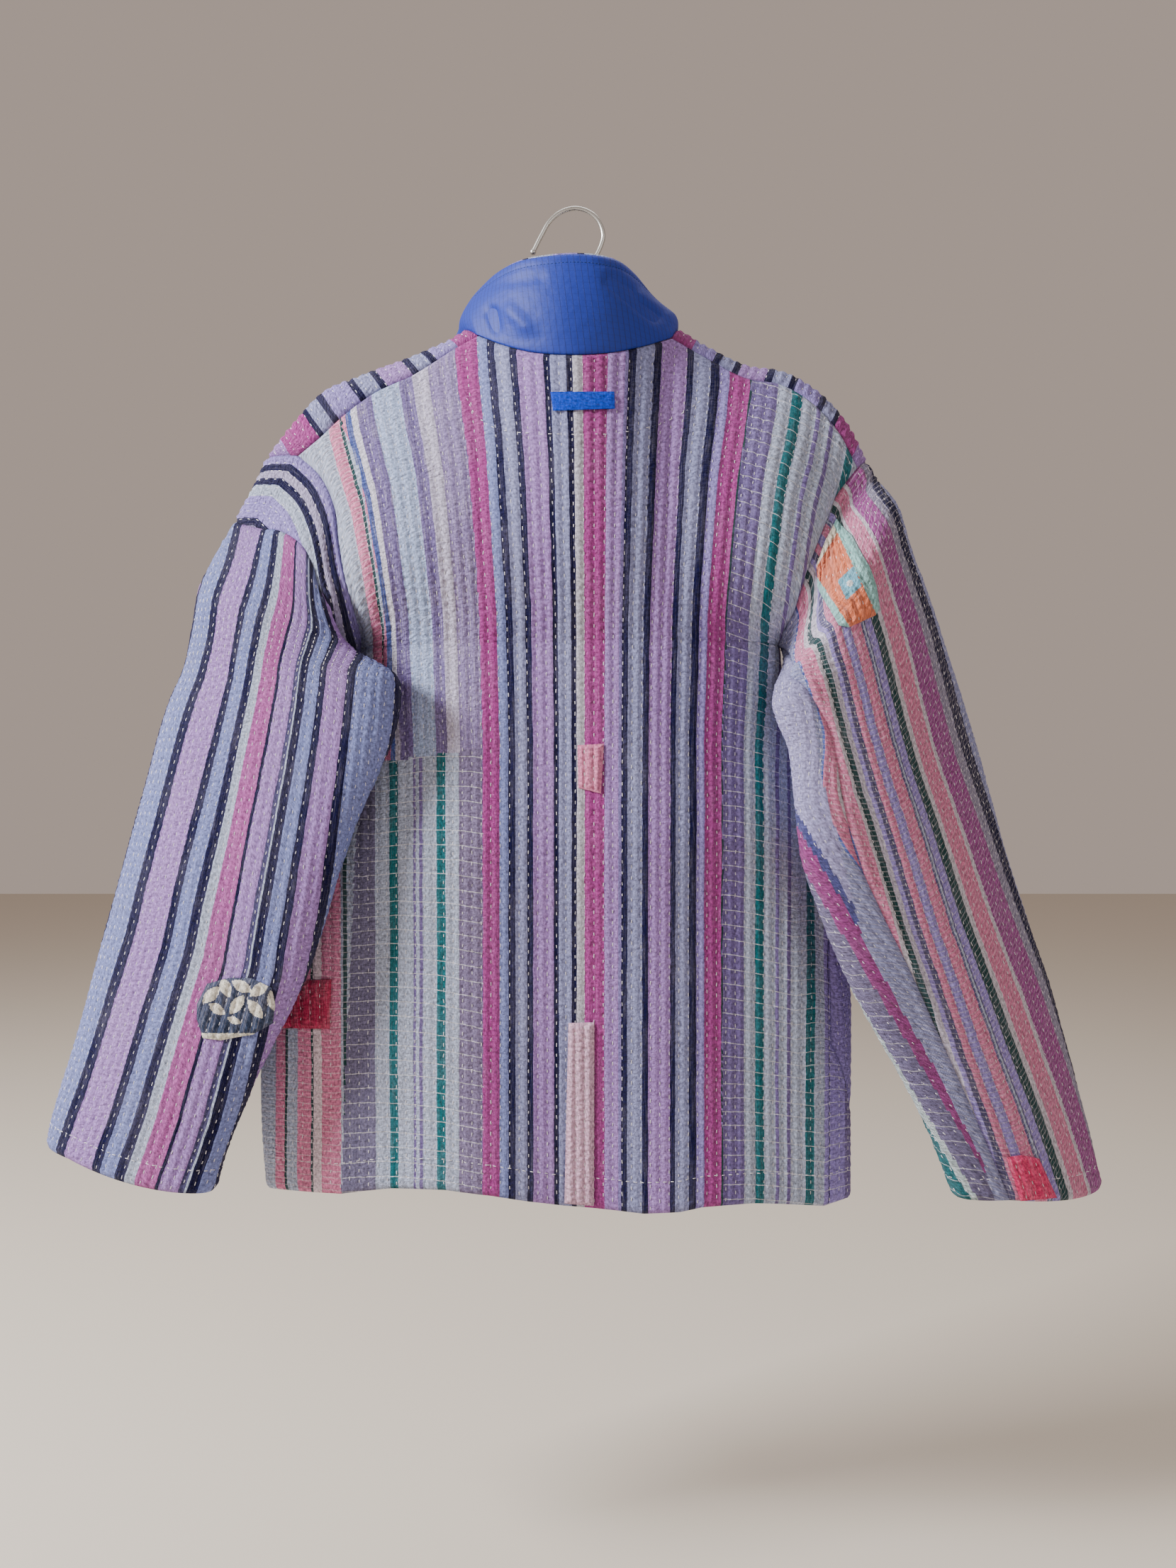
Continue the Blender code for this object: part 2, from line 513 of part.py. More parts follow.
def quilt(p, flat, plain_rows):
    """Height of the quilting on the outer points: a ridge on every second column, none at the edges
    and none under the patches."""
    nu, nv = p.mid.shape[:2]
    q = np.zeros((nu, nv))
    q[1:-1:2] = RIDGE
    q[:, :plain_rows] = q[:, -1:] = 0
    xz = seen(p.mid)
    for outline in flat:
        o = np.array(outline)
        lo, hi = o.min(axis=0) - 14, o.max(axis=0) + (14, 30)
        lo = lo - (0, 16)
        inside = ((xz > lo) & (xz < hi)).all(axis=2) & (p.own[:, :, 1] < 0.2)
        q[inside] = 0
    return q


def build_panel(p, mat, flat=(), out=WALL / 2, inn=WALL / 2, every=2, plain_rows=1):
    q = quilt(p, flat, plain_rows) if plain_rows else 0 * p.mid[:, :, 0]
    thin = 1 - 0.62 * p.near if out > COLLAR_SKIN / 2 and inn > 1 else 1 + 0 * p.near
    outer = p.mid + p.normal * ((out + q) * thin)[:, :, None]
    inner = (p.mid - p.normal * (inn * thin)[:, :, None])[::every]
    p.outer = outer
    verts, faces = (tube_shell if p.seams == "tube" else shell)(outer, inner)
    return add_object(p.name, verts, faces, mat)


def lay(p, xz):
    """Points and normals of a piece's outer face where the given places are as seen from behind."""
    nu, nv = p.outer.shape[:2]
    flat, nrm = p.outer.reshape(-1, 3), p.normal.reshape(-1, 3)
    i, j = np.meshgrid(np.arange(nu - 1), np.arange(nv - 1), indexing="ij")
    a = (i * nv + j).ravel()
    tris = np.vstack([np.stack([a, a + nv, a + nv + 1], 1), np.stack([a, a + nv + 1, a + 1], 1)])
    s = seen(flat)
    A, B, C = s[tris[:, 0]], s[tris[:, 1]], s[tris[:, 2]]
    den = (B[:, 1] - C[:, 1]) * (A[:, 0] - C[:, 0]) + (C[:, 0] - B[:, 0]) * (A[:, 1] - C[:, 1])
    den = np.where(np.abs(den) < 1e-9, 1e-9, den)
    points, normals = [], []
    for x, z in xz:
        l0 = ((B[:, 1] - C[:, 1]) * (x - C[:, 0]) + (C[:, 0] - B[:, 0]) * (z - C[:, 1])) / den
        l1 = ((C[:, 1] - A[:, 1]) * (x - C[:, 0]) + (A[:, 0] - C[:, 0]) * (z - C[:, 1])) / den
        l2 = 1 - l0 - l1
        depth = l0 * flat[tris[:, 0], 1] + l1 * flat[tris[:, 1], 1] + l2 * flat[tris[:, 2], 1]
        worst = np.minimum(np.minimum(l0, l1), l2)
        hit = worst > -1e-6
        k = int(np.where(hit, depth, 1e9).argmin()) if hit.any() else int(worst.argmax())
        w = np.array([l0[k], l1[k], l2[k]])
        points.append(w @ flat[tris[k]])
        n = w @ nrm[tris[k]]
        normals.append(n / np.linalg.norm(n))
    return np.array(points), np.array(normals)


def patch_grid(name, p, corners, nu, nv, mat):
    c = np.array(corners, float)
    s, t = np.meshgrid(np.linspace(0, 1, nu + 1), np.linspace(0, 1, nv + 1), indexing="ij")
    s, t = s[:, :, None], t[:, :, None]
    xz = (c[3] * (1 - s) * (1 - t) + c[2] * s * (1 - t) + c[1] * s * t + c[0] * (1 - s) * t)
    pts, nrm = lay(p, xz.reshape(-1, 2))
    low = pts + nrm * PATCH_LIFT
    high = pts + nrm * (PATCH_LIFT + PATCH_WALL)
    shape = (nu + 1, nv + 1, 3)
    verts, faces = shell(high.reshape(shape), low.reshape(shape))
    return add_object(name, verts, faces, mat)


def patch_disc(name, p, outline, count, mat, lift=PATCH_LIFT + 0.25):
    o = np.array(outline + outline[:1], float)
    k = np.r_[0, np.cumsum(np.linalg.norm(np.diff(o, axis=0), axis=1))]
    t = np.linspace(0, k[-1], count, endpoint=False)
    rim = np.stack([np.interp(t, k, o[:, 0]), np.interp(t, k, o[:, 1])], 1)
    mid = rim.mean(axis=0)
    xz = np.vstack([mid + (rim - mid) * r for r in (1, 0.8, 0.6, 0.4, 0.2)] + [mid[None]])
    pts, nrm = lay(p, xz)
    verts = np.vstack([pts + nrm * (lift + PATCH_WALL), pts + nrm * lift])
    n, m = count, 5 * count + 1
    faces = []
    for i in range(n):
        j = (i + 1) % n
        top = []
        for r in range(4):
            a, b, c, d = r * n + i, r * n + j, (r + 1) * n + j, (r + 1) * n + i
            top += [(a, b, c), (a, c, d)]
        top.append((4 * n + i, 4 * n + j, 5 * n))
        faces += top + [(a + m, c + m, b + m) for a, b, c in top]
        faces += [(i, i + m, j + m), (i, j + m, j)]
    return add_object(name, verts, faces, mat)


def tube(points, radius, sides):
    """Round wire along a line in the y = 0 plane, closed at both ends."""
    p = np.array(points, float)
    d = np.gradient(p, axis=0)
    d /= np.linalg.norm(d, axis=1)[:, None]
    n = np.stack([-d[:, 2], 0 * d[:, 0], d[:, 0]], 1)
    a = 2 * math.pi * np.arange(sides) / sides
    r = np.broadcast_to(radius, len(p))
    rings = (p[:, None] + (n[:, None] * np.cos(a)[None, :, None]
             + np.array([0, 1.0, 0]) * np.sin(a)[None, :, None]) * r[:, None, None])
    verts = np.vstack([rings.reshape(-1, 3), p[:1], p[-1:]])
    faces = []
    for k in range(len(p) - 1):
        for i in range(sides):
            j = (i + 1) % sides
            a0, a1, b0, b1 = k * sides + i, k * sides + j, (k + 1) * sides + i, (k + 1) * sides + j
            faces += [(a0, a1, b1), (a0, b1, b0)]
    last = (len(p) - 1) * sides
    for i in range(sides):
        j = (i + 1) % sides
        faces += [(i, len(verts) - 2, j), (last + i, last + j, len(verts) - 1)]
    return verts, faces


def hanger_arms():
    """Shaped wooden bar under the shoulders; its top runs just inside the cloth."""
    left, right = (along(real(ridge), np.linspace(0, 1, 80)) for ridge in (RIDGE_LEFT, RIDGE_RIGHT))
    xs = np.r_[np.linspace(-202, -86, 13), np.linspace(-70, 70, 9), np.linspace(84, 194, 13)]
    line = np.vstack([left[::-1], right])
    z = np.interp(xs, line[:, 0], line[:, 2])
    mid = np.abs(xs) < 84
    z[mid] = -88 - 13.4 * smooth(16, 74, np.abs(xs[mid]))
    slope = np.gradient(z, xs)
    z -= (WALL / 2 + 0.7) * np.sqrt(1 + slope ** 2)
    z -= 1.0 * smooth(165, 195, np.abs(xs)) + 1.1 * smooth(124, 98, np.abs(xs))
    z[0] -= 3
    z[-1] -= 3
    deep = 24 - 8 * np.abs(xs) / 206
    h = ARM_THICK / 2
    section = [(0, 0), (-0.62 * h, -3.6), (-h, -8), (-h, -1.0), (-0.5 * h, 0), (0.5 * h, 0), (h, -1.0),
               (h, -8), (0.62 * h, -3.6)]
    rings = []
    for x, top, d in zip(xs, z, deep):
        end = min(1.0, 0.7 + (206 - abs(x)) / 40)
        ring = []
        for k, (y, dz) in enumerate(section):
            low = 3 <= k <= 6
            ring.append((x, y * end, top - d + (1.6 if k in (3, 6) else 0) if low else top + dz))
        rings.append(ring)
    rings = np.array(rings)
    n, m = len(xs), len(section)
    verts = np.vstack([rings.reshape(-1, 3), rings[0].mean(axis=0)[None], rings[-1].mean(axis=0)[None]])
    faces = []
    for k in range(n - 1):
        for i in range(m):
            j = (i + 1) % m
            faces += [(k * m + i, k * m + j, (k + 1) * m + j),
                      (k * m + i, (k + 1) * m + j, (k + 1) * m + i)]
    for i in range(m):
        j = (i + 1) % m
        faces += [(i, len(verts) - 2, j), ((n - 1) * m + i, (n - 1) * m + j, len(verts) - 1)]
    return add_object("hanger_arms", verts, faces, "wood")


for ob in list(bpy.data.objects):
    bpy.data.objects.remove(ob, do_unlink=True)

LOWER = np.linspace(0, 1, 11)
cols = np.r_[np.linspace(0, US_NECK[0], 21)[:-1], np.linspace(US_NECK[0], US_NECK[1], 17)[:-1],
             np.linspace(US_NECK[1], 1, 21)]
back = Panel("back", back_grid(cols, np.r_[LOWER, np.linspace(1, 2, 11)[1:]]), False)
rows = np.r_[LOWER, 1 + np.array([0.12, 0.26, 0.4, 0.55, 0.7, 0.85, 1.0]), 2.25, 2.5, 2.75, 3.0]
fronts = {}
for side, name in ((-1, "front_left"), (1, "front_right")):
    t = np.linspace(0, 1, 2001)
    seam_x = along(real(SEAM_LEFT if side < 0 else SEAM_RIGHT)[::-1], t)[:, 0]
    ends = (back.mid[:21] if side < 0 else back.mid[:-22:-1])[:, -1, 0]
    grid = front_grid(side, np.interp(-side * ends, -side * seam_x, t), rows)
    fronts[side] = Panel(name, grid, side < 0)

# each sleeve starts from the very points of its armhole, with one more between every two
loops, ring_cols = {}, {}
for side in (-1, 1):
    edge = np.vstack([fronts[side].mid[0, 10:], back.mid[0 if side < 0 else -1, :9:-1][1:]])
    edge = np.stack([edge[:-1], (edge[:-1] + edge[1:]) / 2], 1).reshape(-1, 3)
    loops[side] = np.vstack([edge, edge[:1]])
    length = np.r_[0, np.cumsum(np.linalg.norm(np.diff(loops[side], axis=0), axis=1))]
    ring_cols[side] = length / length[-1]
band = Panel("sleeve_head_left", band_grid(ring_cols[-1], [0, 0.33, 0.67, 1], loops[-1]), True, "tube")
sleeves = {}
for side, name in ((-1, "sleeve_left"), (1, "sleeve_right")):
    rows = np.r_[0, 0.03, 0.065, 0.1, 0.14, 0.19, 0.25, 0.32, np.linspace(0.4, 1, 8)]
    grid = sleeve_grid(side, ring_cols[side], rows, loops[side])
    sleeves[side] = Panel(name, grid, side < 0, "tube")
neck = np.vstack([fronts[-1].mid[-1, 14:], back.mid[20:37, -1][1:-1], fronts[1].mid[-1, 14:][::-1]])

share_normals([back, fronts[-1], fronts[1], band, sleeves[-1], sleeves[1]])
for p in (band, sleeves[1]):
    n = p.normal[:, 0]
    n[1:-1:2] = (n[:-2:2] + n[2::2]) / np.linalg.norm(n[:-2:2] + n[2::2], axis=1, keepdims=True)
for p in (back, fronts[-1], fronts[1]):
    pull_back(p, SEAM, "LRT" if p is back else "LT", 10)
for p in (band, sleeves[-1], sleeves[1]):
    pull_back(p, SEAM, "TB" if p is band else "B")
for p, side in ((band, -1), (sleeves[1], 1)):
    p.mid[:, 0, 0] += side * 3.2 * p.near[:, 0]

build_panel(back, "striped_cloth", [LABEL, PINK_CENTRE, PALE_HEM, RED_SIDE])
for side in (-1, 1):
    build_panel(fronts[side], "striped_cloth")
build_panel(band, "striped_cloth", every=1, plain_rows=3)
build_panel(sleeves[-1], "striped_cloth", [LEAF_SLEEVE], every=1, plain_rows=5)
build_panel(sleeves[1], "striped_cloth", [DIAMOND_SLEEVE, PINK_CUFF], every=1, plain_rows=5)

share = np.r_[0, np.cumsum(np.linalg.norm(np.diff(neck, axis=0), axis=1))]
share = share / share[-1]
quarter = np.array([0, 0.25, 0.5, 0.75, 1.0])
under = Panel("under_collar", collar_grid(neck, share, quarter * 0.97, 3.4), False)
build_panel(under, "blue_ripstop", (), 0.35 + COLLAR_SKIN, -0.35, 1, 0)
upper = Panel("upper_collar", collar_grid(neck, share, quarter, 3.4), False)
upper.mid, upper.normal = under.mid.copy(), under.normal
peek = (upper.mid[6:27, 4] - upper.mid[6:27, 3])
upper.mid[6:27, 4] += peek / np.linalg.norm(peek, axis=1, keepdims=True) * COLLAR_PEEK
build_panel(upper, "striped_cloth", (), -0.35, 0.35 + COLLAR_SKIN, 1, 0)

patch_grid("label", back, LABEL, 6, 2, "label_blue")
patch_grid("patch_pink_centre", back, PINK_CENTRE, 4, 5, "pink_cloth")
patch_grid("patch_pale_hem", back, PALE_HEM, 4, 10, "pale_cloth")
patch_grid("patch_red_side", back, RED_SIDE, 6, 4, "red_cloth")
patch_disc("patch_leaf_sleeve", sleeves[-1], LEAF_SLEEVE, 20, "slate_cloth")
patch_disc("patch_diamond_sleeve", sleeves[1], DIAMOND_SLEEVE, 26, "orange_cloth", 1.5)
patch_disc("patch_pink_cuff", sleeves[1], PINK_CUFF, 14, "pink_cloth")

hanger_arms()
line = along(HOOK, np.linspace(0, 1, 38))
radius = np.full(38, WIRE)
radius[:2] = (1.9, 2.2)
verts, faces = tube(line, radius, 8)
add_object("hanger_hook", verts, faces, "steel")
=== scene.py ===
"""Looks of a quilted patchwork jacket that hangs on a wooden hanger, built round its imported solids."""
import math

import bpy
import mathutils
import numpy as np
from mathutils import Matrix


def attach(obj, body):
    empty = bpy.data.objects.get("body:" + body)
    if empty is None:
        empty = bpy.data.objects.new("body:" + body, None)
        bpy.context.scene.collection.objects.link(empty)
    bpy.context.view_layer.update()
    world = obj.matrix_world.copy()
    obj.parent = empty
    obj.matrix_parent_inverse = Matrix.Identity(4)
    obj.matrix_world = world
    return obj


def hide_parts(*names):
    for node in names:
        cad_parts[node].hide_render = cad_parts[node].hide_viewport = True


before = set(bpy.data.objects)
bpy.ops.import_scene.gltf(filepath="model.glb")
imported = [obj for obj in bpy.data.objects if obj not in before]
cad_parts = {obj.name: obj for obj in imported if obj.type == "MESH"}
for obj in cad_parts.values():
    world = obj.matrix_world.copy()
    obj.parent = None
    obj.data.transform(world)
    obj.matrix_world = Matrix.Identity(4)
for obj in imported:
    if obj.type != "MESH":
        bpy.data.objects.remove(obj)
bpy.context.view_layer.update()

# The back is one panel of five old striped cottons, two layers quilted together with rows of running
# stitch along the stripes. It is sewn to the fronts at the sides and behind the shoulders, to the
# sleeves at the armholes and to the collar at the neck.

# outlines are in millimetres as seen from behind at EYE; real() brings them to their own depth
EYE = (10.9, 1100.0, -477.0)
SIDE_LEFT = [(-253, -2, -808), (-257, 0, -750), (-257, 2, -696), (-243, 2, -634), (-225, 0, -572),
             (-204, -4, -500), (-188, -6, -440), (-178, -6, -395), (-175, -5, -367)]
SIDE_RIGHT = [(226, -2, -822), (226, 0, -760), (226, 2, -690), (224, 2, -635), (214, 0, -573),
              (201, -4, -500), (186, -6, -440), (172, -6, -395), (167, -5, -362)]
HEM = [(-260, -813), (-251, -814), (-195, -819), (-154, -815), (-108, -815), (-69, -819.5),
       (-39, -825), (-9, -829.5), (21, -832), (57, -835), (87, -833), (106, -829), (147.5, -827),
       (207, -829), (226, -822), (240, -822)]
DEPTH_BACK = [(0, 58), (0.3, 66), (0.65, 72), (1, 62)]
DEPTH_FRONT = [(0, 50), (0.3, 56), (0.65, 58), (1, 52)]
SEAM_LEFT = [(-80, -16, -104), (-100, -15, -115), (-117, -14, -126), (-133, -14, -136),
             (-167, -13, -152), (-194, -13, -172), (-211, -13, -188), (-230, -13, -204)]
SEAM_RIGHT = [(80, -11, -106), (110, -11, -123), (144, -11, -140), (170.5, -11, -144.5),
              (192, -11, -156), (219, -11, -184), (235, -11, -214)]
NECK_BACK = [(-80, -16, -104), (-62, -30, -111), (-34, -44, -118), (-3, -50, -120), (30, -44, -118),
             (60, -28, -112), (80, -11, -106)]
ARMHOLE_LEFT_BACK = [(-175, -5, -367), (-176, -26, -354), (-181, -45, -336), (-189, -54, -310),
                     (-195, -48, -280), (-200.6, -38, -245), (-212, -26, -221), (-230, -13, -204)]
ARMHOLE_RIGHT_BACK = [(167, -5, -362), (173, -28, -350), (182, -44, -333), (187, -50, -318),
                      (194, -48, -297), (202, -42, -276), (211, -32, -254), (217, -22, -238),
                      (227, -15, -224), (235, -11, -214)]


def real(points):
    p = np.array(points, float)
    s = 1 + p[..., 1] / EYE[1]
    p[..., 0] = EYE[0] + (p[..., 0] - EYE[0]) * s
    p[..., 2] = EYE[2] + (p[..., 2] - EYE[2]) * s
    return p


def seen(points):
    p = np.array(points, float)
    s = 1 + p[..., 1] / EYE[1]
    return np.stack([EYE[0] + (p[..., 0] - EYE[0]) / s, EYE[2] + (p[..., 2] - EYE[2]) / s], -1)


def along(points, t, knots=None):
    """Points at the shares t of a smooth line through the given points."""
    p = np.array(points, float)
    if knots is None:
        step = np.linalg.norm(np.diff(p, axis=0), axis=1)
        knots = np.r_[0, np.cumsum(step)]
        knots = knots / knots[-1]
    m = np.gradient(p, knots, axis=0)
    t = np.clip(np.asarray(t, float), 0, 1)
    i = np.clip(np.searchsorted(knots, t, side="right") - 1, 0, len(knots) - 2)
    shape = (-1,) + (1,) * (p.ndim - 1)
    h = (knots[i + 1] - knots[i]).reshape(shape)
    s = ((t - knots[i]) / (knots[i + 1] - knots[i])).reshape(shape)
    return ((2 * s**3 - 3 * s**2 + 1) * p[i] + (s**3 - 2 * s**2 + s) * h * m[i]
            + (3 * s**2 - 2 * s**3) * p[i + 1] + (s**3 - s**2) * h * m[i + 1])


def points_at(spots, run, line):
    """Points of a line at given places along its running length."""
    return np.stack([np.interp(spots, run, line[:, c]) for c in range(3)], 1)


def even(line, t):
    """Points at the shares t of a line's own length."""
    k = np.r_[0, np.cumsum(np.linalg.norm(np.diff(line, axis=0), axis=1))]
    return points_at(t, k / k[-1], line)


def smooth(a, b, x):
    t = np.clip((x - a) / (b - a), 0, 1)
    return t * t * (3 - 2 * t)


def power(x, e):
    return np.sign(x) * np.abs(x) ** e


def body_ring(v, start, end):
    """One level of the body between two angles; 0 is the middle of the back, v = 0 the hem."""
    left, right = along(real(SIDE_LEFT), [v])[0], along(real(SIDE_RIGHT), [v])[0]
    th = np.linspace(start, end, 361)
    back = np.interp(v, *zip(*DEPTH_BACK))
    front = np.interp(v, *zip(*DEPTH_FRONT))
    half = (right[0] - left[0]) / 2
    x = (left[0] + right[0]) / 2 + half * power(np.sin(th), 0.9)
    y = (left[1] + right[1]) / 2 - np.where(np.cos(th) > 0, back, front) * power(np.cos(th), 0.86)
    level = left[2] + (right[2] - left[2]) * (x - left[0]) / (2 * half)
    base = -808 - 14 * (x + 253) / 479
    hx, hz = zip(*HEM)
    s = 1 + y / EYE[1]
    hem = EYE[2] + (np.interp(EYE[0] + (x - EYE[0]) / s, hx, hz) - EYE[2]) * s
    hem = np.where(np.cos(th) > 0, hem, base - 6 * np.cos(th) ** 2)
    z = level + (hem - base) * (1 - v) ** 2
    rear = np.clip(np.cos(th), 0, 1)
    y = y + rear * (1 - 0.6 * v) * 3.2 * np.sin((x + 34) / 26 + v * 1.5)
    fold = np.interp(v, [0, 0.25, 0.55, 0.9, 1], [216, 210, 190, 166, 160])
    height = np.interp(v, [0, 0.3, 0.7, 1], [0, 1, 1, 0.3])
    y = y + 9 * np.exp(-((x - fold) / 13) ** 2) * rear ** 0.3 * height
    return np.stack([x, y, z], 1)


def side_angle(v, side):
    """The angle of the side seams; the right one wanders on to the back below the waist."""
    wander = np.interp(v, [0, 0.14, 0.28, 0.42, 0.7, 1], [0, 0, 0.4, 0.4, 0.1, 0])
    return -math.pi / 2 if side < 0 else math.pi / 2 - wander


def coons(low, high, first, last, u, w, fade=(4, 4)):
    """Surface between four edges; the two side edges fade into it over a short way."""
    u, w = np.asarray(u)[:, None, None], np.asarray(w)[None, :, None]
    ruled = (1 - w) * low[:, None] + w * high[:, None]
    left, right = first[None] - ruled[:1], last[None] - ruled[-1:]
    return ruled + (1 - u) ** fade[0] * left + u ** fade[1] * right


def top_x(us):
    """Where the columns of the back come up along its shoulder and neck line."""
    low = even(body_ring(1, -math.pi / 2, math.pi / 2), np.r_[0, us, 1])[:, 0]
    s = 2 * np.asarray(us) - 1
    return (low[1:-1] + (real(SEAM_LEFT)[-1, 0] - low[0]) * np.clip((-s - 0.25) / 0.75, 0, 1) ** 1.4
            + (real(SEAM_RIGHT)[-1, 0] - low[-1]) * np.clip((s - 0.25) / 0.75, 0, 1) ** 1.4)


US_FINE = np.linspace(0, 1, 4001)
US_NECK = [float(np.interp(real(NECK_BACK)[k, 0], top_x(US_FINE), US_FINE)) for k in (0, -1)]


def back_grid(us, vs):
    """The back: v from 0 at the hem over 1 at the underarm to 2 at the shoulder seams and neck."""
    us, vs = np.asarray(us, float), np.asarray(vs, float)
    rows = [even(body_ring(v, side_angle(v, -1), side_angle(v, 1)), us) for v in vs[vs <= 1]]
    w = vs[vs > 1] - 1
    low = even(body_ring(1, -math.pi / 2, math.pi / 2), us)
    s = 2 * us - 1
    x = top_x(us)
    x[us == US_NECK[0]], x[us == US_NECK[1]] = real(NECK_BACK)[0, 0], real(NECK_BACK)[-1, 0]
    t = np.linspace(0, 1, 400)
    parts = [along(real(SEAM_LEFT)[::-1], t), along(real(NECK_BACK), t), along(real(SEAM_RIGHT), t)]
    fine = np.vstack(parts)
    high = np.stack([x, np.interp(x, fine[:, 0], fine[:, 1]), np.interp(x, fine[:, 0], fine[:, 2])], 1)
    upper = coons(low, high, along(real(ARMHOLE_LEFT_BACK), w), along(real(ARMHOLE_RIGHT_BACK), w),
                  us, w)
    bulge = np.sin(math.pi * w)[None] * 9 * (1 - s[:, None] ** 4)
    upper[:, :, 1] -= bulge
    lower = np.stack(rows, 1) if rows else np.zeros((len(us), 0, 3))
    return np.concatenate([lower, upper], 1)


ROW = 7.8            # from one row of quilting stitches to the next
PITCH = 8.6          # from stitch to stitch along a row
RIDGE = 1.6          # how far the cloth stands up between two rows
HALF_WALL = 1.2      # half of the two layers' thickness
LINING_STEP = 4      # the plain inner skin has every fourth point of the outer one
PHOTO_MM = 0.59      # one pixel of the photograph on the plane y = 0
PHOTO_ORIGIN = (811, 298)


def pixels(points):
    """Where points show in the photograph's frame."""
    s = seen(points)
    return s[..., 0] / PHOTO_MM + PHOTO_ORIGIN[0], PHOTO_ORIGIN[1] - s[..., 1] / PHOTO_MM


def lengths(grid, axis):
    """Running length along one way of a grid of points."""
    step = np.linalg.norm(np.diff(grid, axis=axis), axis=2)
    return np.concatenate([np.zeros_like(np.take(step, [0], axis=axis)), np.cumsum(step, axis=axis)], axis)


def grid_normals(g):
    n = np.cross(np.gradient(g, axis=0), np.gradient(g, axis=1))
    return n / np.maximum(np.linalg.norm(n, axis=2, keepdims=True), 1e-9)


def quilting(across, down):
    """Cloth pillowed between its rows of stitches and puckered along them."""
    rows = across / ROW
    pillow = np.abs(np.sin(math.pi * rows)) ** 0.8
    pucker = np.sin(2 * math.pi * (down / PITCH + 0.37 * np.round(rows)))
    ripple = np.sin(2 * math.pi * down / 4.3 + 1.9 * np.sin(across / 5.1) + down / 17)
    return RIDGE * pillow + 0.42 * pucker * (1 - 0.5 * pillow) + 0.22 * ripple * pillow


def soft_folds(x, z, folds):
    """Slow waves of hanging cloth, with the named folds: ends in photo pixels, half width, depth in mm."""
    h = (0.8 * np.sin(x / 31 + z / 95 + 1.3) * np.sin(z / 57 + 0.6)
         + 0.5 * np.sin(z / 23 + x / 61) * np.sin(x / 47 + 2.0))
    px, py = x / PHOTO_MM + PHOTO_ORIGIN[0], PHOTO_ORIGIN[1] - z / PHOTO_MM
    for x0, y0, x1, y1, width, depth in folds:
        run = np.array([x1 - x0, y1 - y0], float)
        t = ((px - x0) * run[0] + (py - y0) * run[1]) / (run @ run)
        side = np.hypot(px - x0 - np.clip(t, 0, 1) * run[0], py - y0 - np.clip(t, 0, 1) * run[1])
        h -= depth * np.exp(-(side / width) ** 2)
    return h


